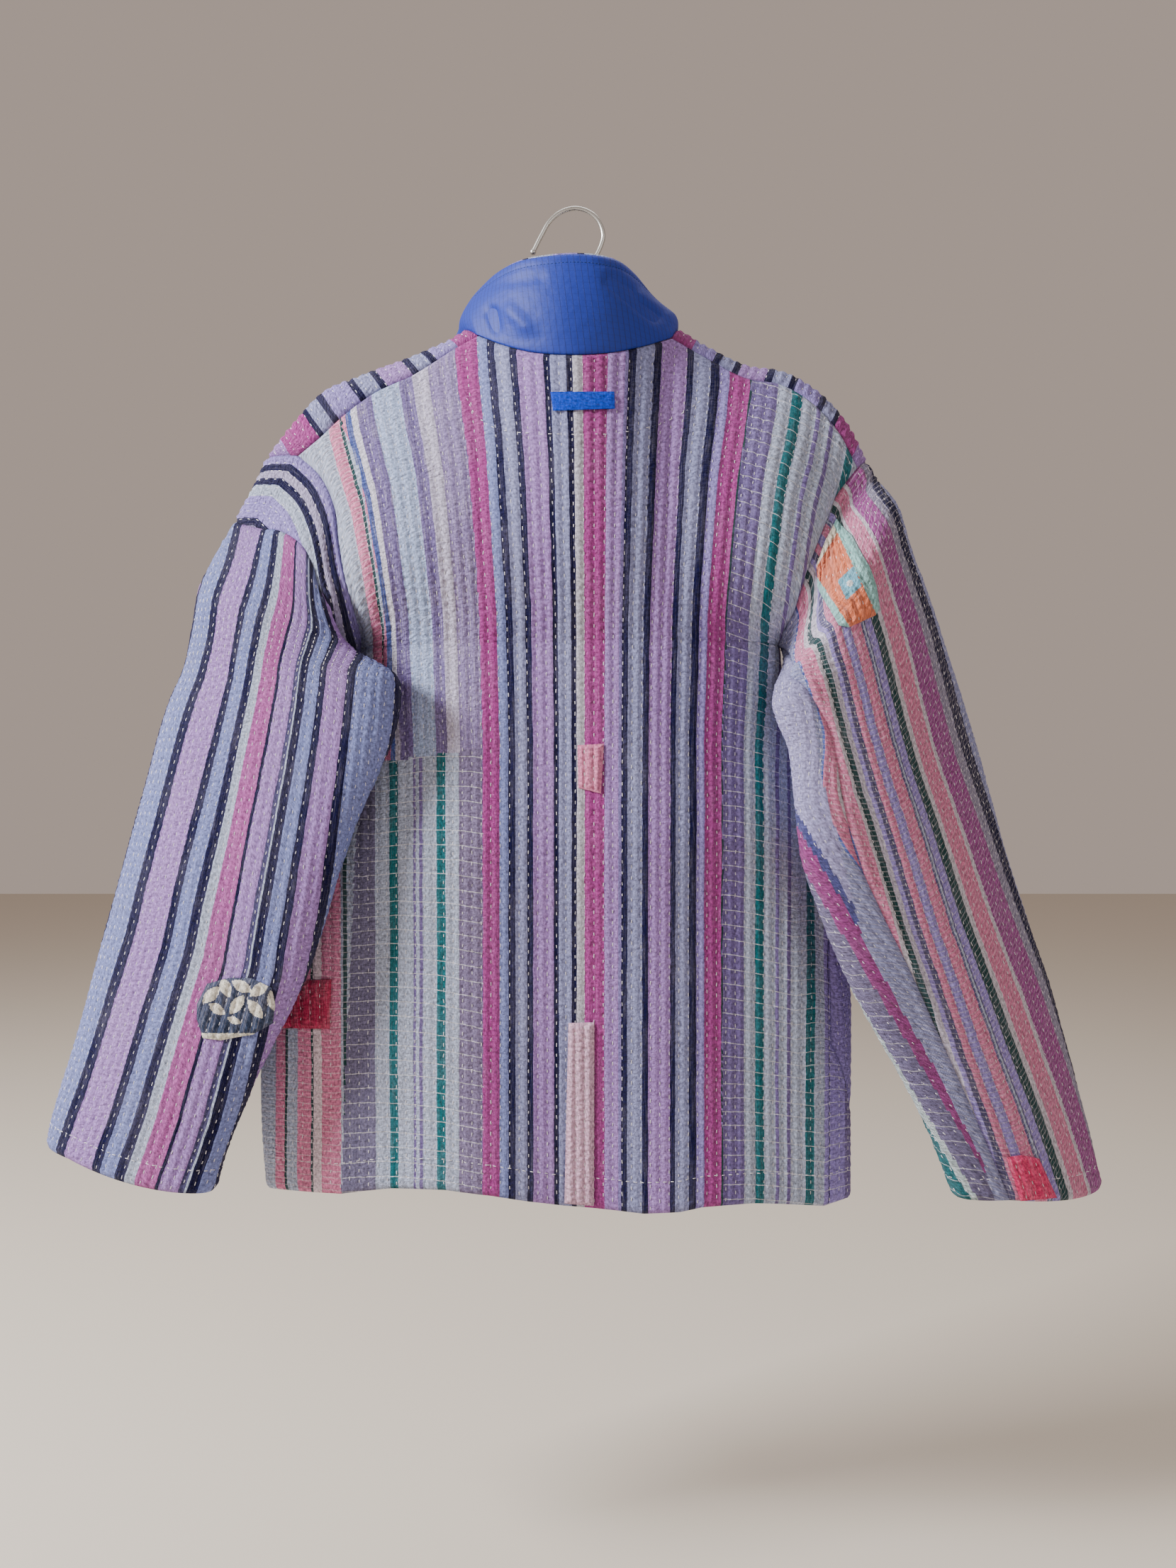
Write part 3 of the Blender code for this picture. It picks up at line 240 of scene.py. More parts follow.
class Cloth:
    """A quilted piece: its fine skin of points with the places across and along its rows, in mm."""

    def __init__(self, name, mid, across, down, flip, folds=(), quilted=True, wall=HALF_WALL):
        self.name, self.mid, self.across, self.down, self.wall = name, mid, across, down, wall
        self.normal = grid_normals(mid) * (-1 if flip else 1)
        lu, lv = lengths(mid, 0), lengths(mid, 1)
        edge = np.minimum(np.minimum(lu, lu[-1:] - lu), np.minimum(lv, lv[:, -1:] - lv))
        self.edge = smooth(0, 4, edge)
        s = seen(mid)
        self.soft = soft_folds(s[..., 0], s[..., 1], folds) * smooth(0, 25, edge)
        rise = self.soft + (quilting(across, down) * self.edge if quilted else 0)
        self.outer = mid + self.normal * (wall * (0.3 + 0.7 * self.edge) + rise)[:, :, None]
        self.px, self.py = pixels(mid)

    def line(self, py):
        """Place across the cloth for every pixel column along one level of the photograph."""
        xs, places = [], []
        for i in range(len(self.mid)):
            order = np.argsort(self.py[i])
            facing = np.interp(py, self.py[i][order], self.normal[i, order, 1])
            if self.py[i].min() < py < self.py[i].max() and facing < -0.05:
                xs.append(np.interp(py, self.py[i][order], self.px[i][order]))
                places.append(np.interp(py, self.py[i][order], self.across[i][order]))
        order = np.argsort(xs)
        return np.array(xs)[order], np.array(places)[order]

    def build(self, materials, zone=None):
        """The closed object: fine outer skin, plain inner skin and the edge strip that joins them."""
        step = LINING_STEP
        nu, nv = self.across.shape
        inner = self.mid - self.normal * (self.wall * (0.3 + 0.7 * self.edge))[:, :, None]
        i, j = np.meshgrid(np.arange(nu - 1), np.arange(nv - 1), indexing="ij")
        a = (i * nv + j).ravel()
        skin = np.stack([a, a + nv, a + nv + 1, a + 1], 1)
        coarse = inner[::step, ::step]
        mu, mv = coarse.shape[:2]
        i, j = np.meshgrid(np.arange(mu - 1), np.arange(mv - 1), indexing="ij")
        a = (i * mv + j).ravel() + nu * nv
        lining = np.stack([a, a + 1, a + mv + 1, a + mv], 1)
        ring = np.r_[np.arange(nv), np.arange(1, nu) * nv + nv - 1,
                     (nu - 1) * nv + np.arange(nv - 2, -1, -1), np.arange(nu - 2, 0, -1) * nv]
        low = (ring[::step] // nv // step) * mv + ring[::step] % nv // step + nu * nv
        corners = [np.roll(ring, -k)[::step] for k in range(step + 1)]
        strip = np.stack(corners + [np.roll(low, -1), low], 1)
        verts = np.vstack([self.outer.reshape(-1, 3), coarse.reshape(-1, 3)])
        places = np.stack([self.across, self.down], 2)
        uv = np.vstack([places.reshape(-1, 2), places[::step, ::step].reshape(-1, 2)]) / 1000
        first, second, third = verts[skin[0][:3]]
        if np.cross(second - first, third - first) @ self.normal[0, 0] < 0:
            skin, lining, strip = skin[:, ::-1], lining[:, ::-1], strip[:, ::-1]
        ob = mesh_object(self.name, verts, skin.tolist() + lining.tolist() + strip.tolist(), materials, uv)
        if zone is not None:
            middles = np.vstack([part.mean(axis=1) for part in (verts[skin], verts[lining], verts[strip])])
            spots = np.concatenate([uv[part].mean(axis=1)[:, 0] for part in (skin, lining, strip)]) * 1000
            index = zone(*pixels(middles), spots)
            ob.data.polygons.foreach_set("material_index", index.astype(np.int32))
        return ob


def mesh_object(name, verts, faces, materials, uv=None):
    """A mesh from points in millimetres, with places on the cloth as its UV map."""
    mesh = bpy.data.meshes.new(name)
    mesh.from_pydata((np.asarray(verts) / 1000).tolist(), [], faces)
    mesh.polygons.foreach_set("use_smooth", np.ones(len(mesh.polygons), bool))
    if uv is not None:
        layer = mesh.uv_layers.new(name="cloth")
        loops = np.zeros(len(mesh.loops), np.int32)
        mesh.loops.foreach_get("vertex_index", loops)
        layer.data.foreach_set("uv", np.asarray(uv)[loops].ravel())
    for mat in materials:
        mesh.materials.append(mat)
    ob = bpy.data.objects.new(name, mesh)
    bpy.context.scene.collection.objects.link(ob)
    return ob


def laid_along(spots, run, points, normals):
    """Middle, direction and normal of a stitch at each spot along a run of points."""
    before, after = points_at(spots - 1.0, run, points), points_at(spots + 1.0, run, points)
    return np.stack([(before + after) / 2, after - before, points_at(spots, run, normals)], 1)


def stitch_places(cloth):
    """Every quilting stitch that shows on a piece's outside."""
    found = []
    nu, nv = cloth.across.shape
    cols = np.arange(nu)
    reach = cloth.edge > 0.9
    for k in range(math.ceil(cloth.across.min() / ROW), math.floor(cloth.across.max() / ROW) + 1):
        at = np.full(nv, np.nan)
        for j in range(nv):
            a = cloth.across[:, j]
            if a.min() < k * ROW < a.max():
                turn = 1 if a[-1] > a[0] else -1
                at[j] = np.interp(k * ROW, a[::turn], cols[::turn])
        js = np.flatnonzero(~np.isnan(at))
        for run in np.split(js, np.flatnonzero(np.diff(js) > 1) + 1):
            if len(run) < 4:
                continue
            i0 = np.minimum(at[run].astype(int), nu - 2)
            f = (at[run] - i0)[:, None]
            p = cloth.outer[i0, run] * (1 - f) + cloth.outer[i0 + 1, run] * f
            n = cloth.normal[i0, run]
            d = cloth.down[i0, run] * (1 - f[:, 0]) + cloth.down[i0 + 1, run] * f[:, 0]
            ok = reach[i0, run]
            if d[0] > d[-1]:
                p, n, d, ok = p[::-1], n[::-1], d[::-1], ok[::-1]
            m = np.arange(math.ceil(d[0] / PITCH), math.floor(d[-1] / PITCH) + 1)
            spots = PITCH * (m + (0.75 - 0.37 * k) % 1.0)
            spots = spots[(spots > d[0] + 1) & (spots < d[-1] - 1)]
            spots = spots[np.interp(spots, d, ok.astype(float)) > 0.5]
            if not len(spots):
                continue
            found.append(laid_along(spots, d, p, n))
    return np.vstack(found) if found else np.zeros((0, 3, 3))


def sew(name, places, material, length=3.1, width=0.62, seed=1):
    """Running stitches: one short round-backed thread at each place, sunk at both ends."""
    rng = np.random.default_rng(seed)
    p, t, n = places[:, 0], places[:, 1], places[:, 2]
    t = t / np.maximum(np.linalg.norm(t, axis=1, keepdims=True), 1e-9)
    b = np.cross(n, t)
    b /= np.maximum(np.linalg.norm(b, axis=1, keepdims=True), 1e-9)
    turn = rng.normal(0, 0.07, len(p))[:, None]
    t, b = t * np.cos(turn) + b * np.sin(turn), b * np.cos(turn) - t * np.sin(turn)
    half = length / 2 * (1 + rng.normal(0, 0.12, len(p)))[:, None]
    w = width / 2
    shape = [(-1, 0, -0.25), (-0.7, -w, 0.0), (-0.7, 0, 0.34), (-0.7, w, 0.0),
             (0.7, -w, 0.0), (0.7, 0, 0.34), (0.7, w, 0.0), (1, 0, -0.25)]
    corners = [p + t * half * s + b * side + n * (up + 0.1) for s, side, up in shape]
    verts = np.stack(corners, 1).reshape(-1, 3)
    tris = np.array([(0, 2, 1), (0, 3, 2), (1, 2, 5), (1, 5, 4), (2, 3, 6), (2, 6, 5), (7, 4, 5), (7, 5, 6)])
    faces = (np.arange(len(p))[:, None, None] * 8 + tris[None]).reshape(-1, 3).tolist()
    return mesh_object(name, verts, faces, [material])


LINE_PITCH = 6.2     # from stitch to stitch along a hem, a cuff or the neck facing
HEM_IN = 25          # the hem's stitches lie this far in from its edge


def line_stitches(name, points, normals, material):
    """A single line of running stitches along a run of points."""
    run = np.r_[0, np.cumsum(np.linalg.norm(np.diff(points, axis=0), axis=1))]
    spots = np.arange(LINE_PITCH, run[-1] - LINE_PITCH, LINE_PITCH)
    return sew(name, laid_along(spots, run, points, normals), material, 3.2, 0.6)


def level_line(cloth, distance, from_end=False):
    """Points and normals along a piece, a fixed way in from its lower or its last edge."""
    way = cloth.down[:, -1:] - cloth.down if from_end else cloth.down
    order = slice(None, None, -1 if from_end else 1)
    return [np.array([[np.interp(distance, way[i, order], q[i, order, c]) for c in range(3)]
                      for i in range(len(way))]) for q in (cloth.outer, cloth.normal)]


def dye(code):
    """A colour written as it looks, brought to the renderer's linear scale."""
    c = [int(code[k:k + 2], 16) / 255 for k in (0, 2, 4)]
    return tuple(v / 12.92 if v <= 0.04045 else ((v + 0.055) / 1.055) ** 2.4 for v in c) + (1.0,)


def new_group(name, inputs, outputs):
    group = bpy.data.node_groups.new(name, "ShaderNodeTree")
    for label, kind, value in inputs:
        socket = group.interface.new_socket(name=label, in_out="INPUT", socket_type=kind)
        if value is not None:
            socket.default_value = value
    for label, kind in outputs:
        group.interface.new_socket(name=label, in_out="OUTPUT", socket_type=kind)
    return group, group.nodes.new("NodeGroupInput"), group.nodes.new("NodeGroupOutput")


def math_node(tree, operation, *values):
    node = tree.nodes.new("ShaderNodeMath")
    node.operation = operation
    for k, value in enumerate(values):
        if isinstance(value, (int, float)):
            node.inputs[k].default_value = value
        else:
            tree.links.new(value, node.inputs[k])
    return node.outputs[0]


def mix_colors(tree, factor, first, second, blend="MIX"):
    node = tree.nodes.new("ShaderNodeMix")
    node.data_type, node.blend_type = "RGBA", blend
    for k, value in ((0, factor), (6, first), (7, second)):
        if isinstance(value, (int, float, tuple)):
            node.inputs[k].default_value = value
        else:
            tree.links.new(value, node.inputs[k])
    return node.outputs[2]


def noise(tree, vector, scale, detail=2.0):
    node = tree.nodes.new("ShaderNodeTexNoise")
    node.inputs["Scale"].default_value = scale
    node.inputs["Detail"].default_value = detail
    tree.links.new(vector, node.inputs["Vector"])
    return node.outputs["Fac"]


def stretched(tree, across, down, ax, dn):
    """Places on the cloth scaled differently across and along."""
    node = tree.nodes.new("ShaderNodeCombineXYZ")
    tree.links.new(math_node(tree, "MULTIPLY", across, ax), node.inputs[0])
    tree.links.new(math_node(tree, "MULTIPLY", down, dn), node.inputs[1])
    return node.outputs[0]


# worn cotton: streaks of thinner thread, mottled fading, a coarse weave for relief and painted light and
# shade of the small puckers multiplied into the colour, used by every cotton
old_cotton, cotton_in, cotton_out = new_group(
    "old_cotton",
    [("Color", "NodeSocketColor", None), ("Across", "NodeSocketFloat", 0.0),
     ("Down", "NodeSocketFloat", 0.0), ("Streaks", "NodeSocketFloat", 0.3),
     ("Fading", "NodeSocketFloat", 0.2)],
    [("Color", "NodeSocketColor"), ("Weave", "NodeSocketFloat")])
t = old_cotton
across, down = cotton_in.outputs["Across"], cotton_in.outputs["Down"]
streak = noise(t, stretched(t, across, down, 1.5, 0.045), 1.0, 3)
streak = math_node(t, "MAXIMUM", math_node(t, "MULTIPLY_ADD", streak, 5.0, -2.4), 0.0)
streak = math_node(t, "SMOOTH_MIN", streak, 1.0, 0.1)
streak = math_node(t, "MULTIPLY", streak, cotton_in.outputs["Streaks"])
color = mix_colors(t, streak, cotton_in.outputs["Color"], dye("cfc9d6"))
mottle = noise(t, stretched(t, across, down, 0.02, 0.016), 1.0, 4)
mottle = math_node(t, "MAXIMUM", math_node(t, "MULTIPLY_ADD", mottle, 3.2, -1.35), 0.0)
mottle = math_node(t, "MULTIPLY", mottle, cotton_in.outputs["Fading"])
color = mix_colors(t, mottle, color, dye("a7a0b4"))
fine = noise(t, stretched(t, across, down, 1.3, 1.1), 1.0, 3)
# grain: painted light and shade of the small rice-grain puckers, lighter and darker cells about 2 by 3 mm;
# with the threads' own finer tone it darkens and lightens the colour below
grain = noise(t, stretched(t, across, down, 0.62, 0.36), 1.0, 3)
shade = math_node(t, "ADD", math_node(t, "MULTIPLY_ADD", fine, 0.5, -0.25),
                  math_node(t, "MULTIPLY_ADD", grain, 2.2, -0.1))
grey = t.nodes.new("ShaderNodeCombineColor")
for k in range(3):
    t.links.new(shade, grey.inputs[k])
t.links.new(mix_colors(t, 1.0, color, grey.outputs[0], "MULTIPLY"), cotton_out.inputs["Color"])
warp = math_node(t, "SINE", math_node(t, "MULTIPLY", across, 2 * math.pi / 0.8))
weft = math_node(t, "SINE", math_node(t, "MULTIPLY", down, 2 * math.pi / 0.9))
weave = math_node(t, "MULTIPLY_ADD", math_node(t, "MULTIPLY", warp, weft), 0.25, 0.5)
t.links.new(math_node(t, "ADD", weave, fine), cotton_out.inputs["Weave"])


def cloth_material(name):
    """A new material with its shader, and the places across and along its cloth in millimetres."""
    mat = bpy.data.materials.new(name)
    mat.use_nodes = True
    tree = mat.node_tree
    place = tree.nodes.new("ShaderNodeUVMap")
    place.uv_map = "cloth"
    split = tree.nodes.new("ShaderNodeSeparateXYZ")
    tree.links.new(place.outputs[0], split.inputs[0])
    across, down = [math_node(tree, "MULTIPLY", split.outputs[k], 1000.0) for k in (0, 1)]
    return mat, tree, tree.nodes["Principled BSDF"], across, down


def finish_cloth(tree, shader, color, height, strength, distance, roughness):
    """Join a cloth's colour and its fine relief to the shader."""
    bump = tree.nodes.new("ShaderNodeBump")
    bump.inputs["Strength"].default_value = strength
    bump.inputs["Distance"].default_value = distance
    tree.links.new(height, bump.inputs["Height"])
    tree.links.new(color, shader.inputs["Base Color"])
    tree.links.new(bump.outputs[0], shader.inputs["Normal"])
    shader.inputs["Roughness"].default_value = roughness


def plain_material(name, code, roughness, metallic=0.0):
    """A material of one even colour."""
    mat = bpy.data.materials.new(name)
    mat.use_nodes = True
    shader = mat.node_tree.nodes["Principled BSDF"]
    shader.inputs["Base Color"].default_value = dye(code)
    shader.inputs["Metallic"].default_value = metallic
    shader.inputs["Roughness"].default_value = roughness
    return mat


def striped(name, bands, streaks=0.1, fading=0.09, checks=None):
    """Cotton woven in stripes: where each starts in mm across, and its dye. Checks are lines across
    the stripes: spacing, width, dye and strength."""
    mat, tree, shader, across, down = cloth_material(name)
    drift = noise(tree, stretched(tree, across, down, 0.05, 0.06), 1.0)
    sway = math_node(tree, "MULTIPLY_ADD", drift, 1.6, -0.8)
    bands = sorted(bands, key=lambda band: band[0])[-32:]      # a ramp holds 32 colours
    lo, hi = bands[0][0], bands[-1][0] + 12
    ramp = tree.nodes.new("ShaderNodeValToRGB")
    ramp.color_ramp.interpolation = "CONSTANT"
    ramp.color_ramp.elements.remove(ramp.color_ramp.elements[1])
    ramp.color_ramp.elements[0].color = dye(bands[0][1])
    for start, code in bands[1:]:
        ramp.color_ramp.elements.new((start - lo) / (hi - lo)).color = dye(code)
    spot = math_node(tree, "WRAP", math_node(tree, "ADD", across, sway), hi, lo)
    spot = math_node(tree, "DIVIDE", math_node(tree, "SUBTRACT", spot, lo), hi - lo)
    tree.links.new(spot, ramp.inputs[0])
    color = ramp.outputs[0]
    if checks:
        spacing, width, code, strength = checks
        tilt = math_node(tree, "MULTIPLY_ADD", across, 0.06, math_node(tree, "MULTIPLY", sway, 0.8))
        level = math_node(tree, "DIVIDE", math_node(tree, "ADD", down, tilt), spacing)
        on_line = math_node(tree, "LESS_THAN", math_node(tree, "FRACT", level), width / spacing)
        line = math_node(tree, "MULTIPLY", on_line, strength)
        color = mix_colors(tree, line, color, dye(code))
    cotton = tree.nodes.new("ShaderNodeGroup")
    cotton.node_tree = old_cotton
    tree.links.new(color, cotton.inputs["Color"])
    tree.links.new(across, cotton.inputs["Across"])
    tree.links.new(down, cotton.inputs["Down"])
    cotton.inputs["Streaks"].default_value = streaks
    cotton.inputs["Fading"].default_value = fading
    crinkle = noise(tree, stretched(tree, across, down, 0.22, 0.5), 1.0, 2)
    weave = math_node(tree, "MULTIPLY", cotton.outputs["Weave"], 0.35)
    height = math_node(tree, "MULTIPLY_ADD", crinkle, 1.6, weave)
    finish_cloth(tree, shader, cotton.outputs["Color"], height, 1.0, 0.0019, 0.92)
    shader.inputs["Sheen Weight"].default_value = 0.05
    shader.inputs["Specular IOR Level"].default_value = 0.15
    return mat


NAVY, GREY, BLUEGREY, LILAC = "05043a", "8c90bd", "7b85c0", "9183c8"
PINKLILAC, MAGENTA, PURPLE, TEAL = "a07cc2", "a03c8a", "71629a", "0a6570"
PALE, PALEBLUE, PINK, DARKGREEN = "a7b1cb", "9fb0d8", "d0799f", "143f42"

WAIST_LEVEL = 1256             # the photograph's level along which most of the back's stripes are read
MIDDLE_COLUMN = 838            # the column of the photograph from which places across are counted
PALE_CHECK = (11.7, 0.7, "e4e3ea", 0.6)

fine_u, fine_v = ((241, 337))
us = np.linspace(0, 1, fine_u)
mid = back_grid(us, np.r_[np.linspace(0, 1, fine_v // 2 + 1), np.linspace(1, 2, fine_v // 2 + 1)[1:]])
px, py = pixels(mid)
# stripes fan out from the middle towards the shoulders
fan = np.interp(py, [430, 509, 657, 865, 1050, 1800], [1.3, 1.25, 1.13, 1.03, 1.0, 1.0])
step = np.diff(mid, axis=0)
gain = np.maximum(np.diff(px, axis=0) * PHOTO_MM / fan[1:], 0.6 * np.linalg.norm(step, axis=2))
run = np.vstack([np.zeros((1, mid.shape[1])), np.cumsum(gain, axis=0)])
for j in range(mid.shape[1]):
    run[:, j] -= np.interp(MIDDLE_COLUMN, px[:, j], run[:, j])
back = Cloth("back_cloth", mid, run, lengths(mid, 1), False, folds=[(1110, 960, 1190, 1350, 16, 3.0)])


def measured(cloth, py, bands):
    """Stripes read along one level of the photograph, as places across the cloth."""
    xs, places = cloth.line(py)
    spots = [float(np.interp(x, xs, places)) for x, code in bands]
    for k in range(1, len(bands) - 1):
        if bands[k][1] == NAVY:        # the dark warp bleeds a little into its neighbours
            spots[k], spots[k + 1] = spots[k] - 0.45, spots[k + 1] + 0.45
    return [(spot, code) for spot, (x, code) in zip(spots, bands)]


middle = striped("striped_middle", measured(back, WAIST_LEVEL, [
    (681, MAGENTA), (704, BLUEGREY), (718, NAVY), (725, GREY), (744, NAVY), (751, PINKLILAC), (781, NAVY),
    (787, GREY), (806, NAVY), (812, "b9b6c6"), (824, MAGENTA), (852, PINKLILAC), (872, LILAC), (876, NAVY),
    (883, GREY), (906, NAVY), (912, PINKLILAC), (945, NAVY), (951, GREY), (972, NAVY), (979, LILAC),
    (992, MAGENTA), (1016, DARKGREEN), (1018, PURPLE)]))
upper = striped("faded_upper_left", measured(back, 865, [
    (500, PINK), (542, "4a5aa0"), (549, "c9c6d8"), (557, PURPLE), (576, PALEBLUE), (609, PURPLE),
    (625, "bdb6d2"), (644, "8a79ac"), (679, MAGENTA)]), streaks=0.35)
lower = striped("checked_lower_left", measured(back, WAIST_LEVEL, [
    (480, "6f6a8c"), (531, PALE), (551, TEAL), (563, PALE), (584, PURPLE), (588, PALE), (593, PURPLE),
    (597, PALE), (617, TEAL), (629, PALE), (648, "7d7096"), (681, MAGENTA)]), checks=PALE_CHECK)
right_side = striped("checked_right", measured(back, WAIST_LEVEL, [
    (1018, PURPLE), (1048, PALE), (1064, TEAL), (1076, PALE), (1092, PURPLE), (1097, PALE), (1108, PURPLE),
    (1113, PALE), (1134, TEAL), (1146, PALE), (1160, LILAC), (1185, NAVY), (1192, LILAC)]),
    checks=PALE_CHECK)
left_side = striped("pink_left_side", measured(back, 1450, [
    (378, PALE), (392, PINK), (404, DARKGREEN), (408, PALE), (422, PINK), (440, DARKGREEN), (443, "d9c2cf"),
    (455, PINK), (482, PALE), (486, DARKGREEN), (491, PALE)]), checks=(5.2, 0.9, "dcd3dc", 0.35))
SIDE_JOIN = [(430, 450), (600, 483), (657, 505), (865, 542), (1000, 540), (1100, 512), (1191, 501),
             (1319, 496), (1478, 488), (1800, 478)]
first_magenta, green_line = (measured(back, WAIST_LEVEL, [(x, "")])[0][0] for x in (681, 1018))


def back_zone(px, py, across):
    """Which of the five cloths lies at a place on the back."""
    join = np.interp(px, [536, 616, 680], [1076, 1065, 1056])
    index = np.where(across > green_line, 3, 0)
    left = across < first_magenta
    index[left & (py < join)] = 1
    index[left & (py >= join)] = 2
    index[left & (px < np.interp(py, *zip(*SIDE_JOIN)))] = 4
    return index


def ride(*pieces):
    for piece in pieces:
        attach(piece, "root")


thread = plain_material("cotton_thread", "dedbe2", 0.85)
back_cloth = back.build([middle, upper, lower, right_side, left_side], back_zone)
back_stitches = sew("back_stitches", stitch_places(back), thread)
hem_line = line_stitches("back_hem_stitches", *level_line(back, HEM_IN), thread)
# the facing inside the neck is caught by a moon of stitches, given in the photograph's pixels
MOON = [(655, 556), (672, 588), (699, 606), (740, 613), (811, 614), (883, 612), (940, 596), (978, 575),
        (1009, 548)]
half = back.px.shape[1] // 2
shown = np.stack([back.px, back.py], 2)[:, half:]
nearest = [np.unravel_index(((shown - p) ** 2).sum(axis=2).argmin(), shown.shape[:2])
           for p in along(MOON, np.linspace(0, 1, 160))]
columns, levels = np.array(nearest).T
trace = back.outer[columns, levels + half]
trace = np.stack([np.convolve(np.pad(trace[:, c], 4, "edge"), np.ones(9) / 9, "valid") for c in range(3)], 1)
neck_line = line_stitches("neck_facing_stitches", trace, back.normal[columns, levels + half], thread)
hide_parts("back")
ride(back_cloth, back_stitches, hem_line, neck_line)


# The two fronts are quilted panels of striped cotton, cut long enough to run over the shoulders to the
# seams behind them. They are sewn to the back at the sides and hang open, edge to edge, in the middle.
FRONT_GAP = 4.0            # each front stops this far from the middle
RIDGE_LEFT = [(-88, 2, -100), (-99, 0, -107), (-130, 0, -121), (-179, 0, -140), (-204, 0, -151),
              (-228, 0, -175), (-252.5, 0, -205)]
RIDGE_RIGHT = [(84, 2, -100), (110, 0, -116), (144, 0, -132), (170.5, 0, -136), (193.5, 0, -147),
               (223, 0, -176), (241, 0, -210)]
NECK_FRONT_LEFT = [(-FRONT_GAP, 66, -192), (-34, 62, -178), (-62, 50, -150), (-79, 30, -122),
                   (-86, 12, -108)]
NECK_FRONT_RIGHT = [(FRONT_GAP, 66, -194), (34, 62, -180), (62, 50, -152), (79, 30, -124),
                    (82, 12, -108)]
ARMHOLE_LEFT_FRONT = [(-175, -5, -367), (-180, 22, -348), (-190, 42, -318), (-198, 46, -280),
                      (-208, 40, -248), (-226, 28, -226), (-252.5, 9, -212)]
ARMHOLE_RIGHT_FRONT = [(167, -5, -362), (173, 22, -344), (185, 42, -312), (197, 46, -278),
                       (211, 38, -250), (226, 24, -228), (241, 9, -217)]


def front_grid(side, us, vs):
    """A front: u from the side seam to the middle, v over 1 and 2 to 3 at the shoulder seam."""
    us, vs = np.asarray(us, float), np.asarray(vs, float)
    ridge, seam = real(RIDGE_LEFT), real(SEAM_LEFT)
    hole, neck = real(ARMHOLE_LEFT_FRONT), real(NECK_FRONT_LEFT)
    if side > 0:
        ridge, seam = real(RIDGE_RIGHT), real(SEAM_RIGHT)
        hole, neck = real(ARMHOLE_RIGHT_FRONT), real(NECK_FRONT_RIGHT)
    grid = []
    for v in vs[vs <= 1]:
        ring = body_ring(v, side_angle(v, side), side * math.pi)
        ring[:, 0] += side * FRONT_GAP * smooth(40, 0, np.abs(ring[:, 0] - ring[-1, 0]))
        grid.append(even(ring, us))
    low = even(body_ring(1, side * math.pi / 2, side * math.pi), us)
    low[:, 0] += side * FRONT_GAP * us
    r = along(ridge[::-1], us)
    front = r + np.array([0, 9, -7.0])
    front[-1] = neck[-1]
    front[0] = hole[-1]
    w = vs[(vs > 1) & (vs <= 2)] - 1
    chest = np.array([low[-1], (low[-1] + neck[0]) / 2 + (0, 3, 0), neck[0]])
    inner = np.vstack([along(chest, np.clip(w[w <= 0.55] / 0.55, 0, 1)),
                       along(neck, np.clip((w[w > 0.55] - 0.55) / 0.45, 0, 1))])
    mid = coons(low, front, along(hole, w), inner, us, w, (4, 2))
    mid[:, :, 1] += np.sin(math.pi * w)[None] * 10 * np.sin(math.pi * us)[:, None]
    s = (vs[vs > 2] - 2)[None, :, None]
    back = along(seam[::-1], us)[:, None]
    strip = (front[:, None] * (s - 0.5) * (s - 1) * 2 - r[:, None] * s * (s - 1) * 4
             + back * s * (s - 0.5) * 2)
    lower = np.stack(grid, 1) if grid else np.zeros((len(us), 0, 3))
    return np.concatenate([lower, mid, strip], 1)


FRONT_STRIPES = [(-300, LILAC), (-262, PURPLE), (-235, NAVY), (-228, GREY), (-210, NAVY), (-203, PINKLILAC),
                 (-185, MAGENTA), (-157, NAVY), (-152, GREY), (-140, NAVY), (-134, LILAC), (-112, NAVY),
                 (-106, GREY), (-92, NAVY), (-86, PINKLILAC), (-64, NAVY), (-58, GREY), (-46, NAVY),
                 (-40, LILAC), (-20, MAGENTA), (-10, MAGENTA)]
front_mat = striped("striped_front", FRONT_STRIPES)
rows = np.r_[np.linspace(0, 1, fine_v // 2 + 1), np.linspace(1, 2, fine_v // 2 + 1)[1:],
             np.linspace(2, 3, 17)[1:]]
for side, node in ((-1, "front_left"), (1, "front_right")):
    mid = front_grid(side, np.linspace(0, 1, fine_u // 2 + 1), rows)
    run = lengths(mid, 0)
    cloth = Cloth(node + "_cloth", mid, run - run[-1:], lengths(mid, 1), side < 0)
    piece = cloth.build([front_mat])
    stitches = sew(node + "_stitches", stitch_places(cloth), thread)
    hem_line = line_stitches(node + "_hem_stitches", *level_line(cloth, HEM_IN), thread)
    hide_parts(node)
    ride(piece, stitches, hem_line)


# The sleeve head is a ring of cloth let in between the left armhole and its sleeve, of the same
# striped cotton with the stripes running round the arm. It is sewn to both and quilted as they are.
BAND_LEFT = [(-188, -8, -380), (-195, 10, -370), (-203, 28, -350), (-213, 47, -320), (-225, 52, -290),
             (-238, 44, -268), (-258, 24, -260), (-281, 0, -259), (-259, -20, -265),
             (-247, -32, -266), (-235, -42, -272), (-225, -50, -281), (-218, -56, -296),
             (-214, -60, -311), (-207, -63, -325), (-202, -56, -344), (-199, -42, -357),
             (-195, -26, -370), (-188, -8, -380)]


def armhole(side):
    """The armhole as a loop: up the front from the underarm, over the shoulder and down the back."""
    front = front_grid(side, [0.0, 1.0], np.linspace(1.0001, 3, 240))[0]
    back = back_grid([0.0, 1.0], np.linspace(1.0001, 2, 160))[0 if side < 0 else -1]
    loop = np.vstack([front, back[::-1][1:]])
    loop[-1] = loop[0]
    return loop


def closed(loop, us):
    """Evenly spread points round a loop; one given by a few points is first drawn smoothly."""
    return even(loop if len(loop) > 99 else along(loop, np.linspace(0, 1, 721)), us)


def band_grid(us, vs):
    """The ring of cloth between the left armhole and the head of the sleeve."""
    hole = closed(armhole(-1), us)[:, None]
    return hole + (closed(real(BAND_LEFT), us)[:, None] - hole) * vs[None, :, None]


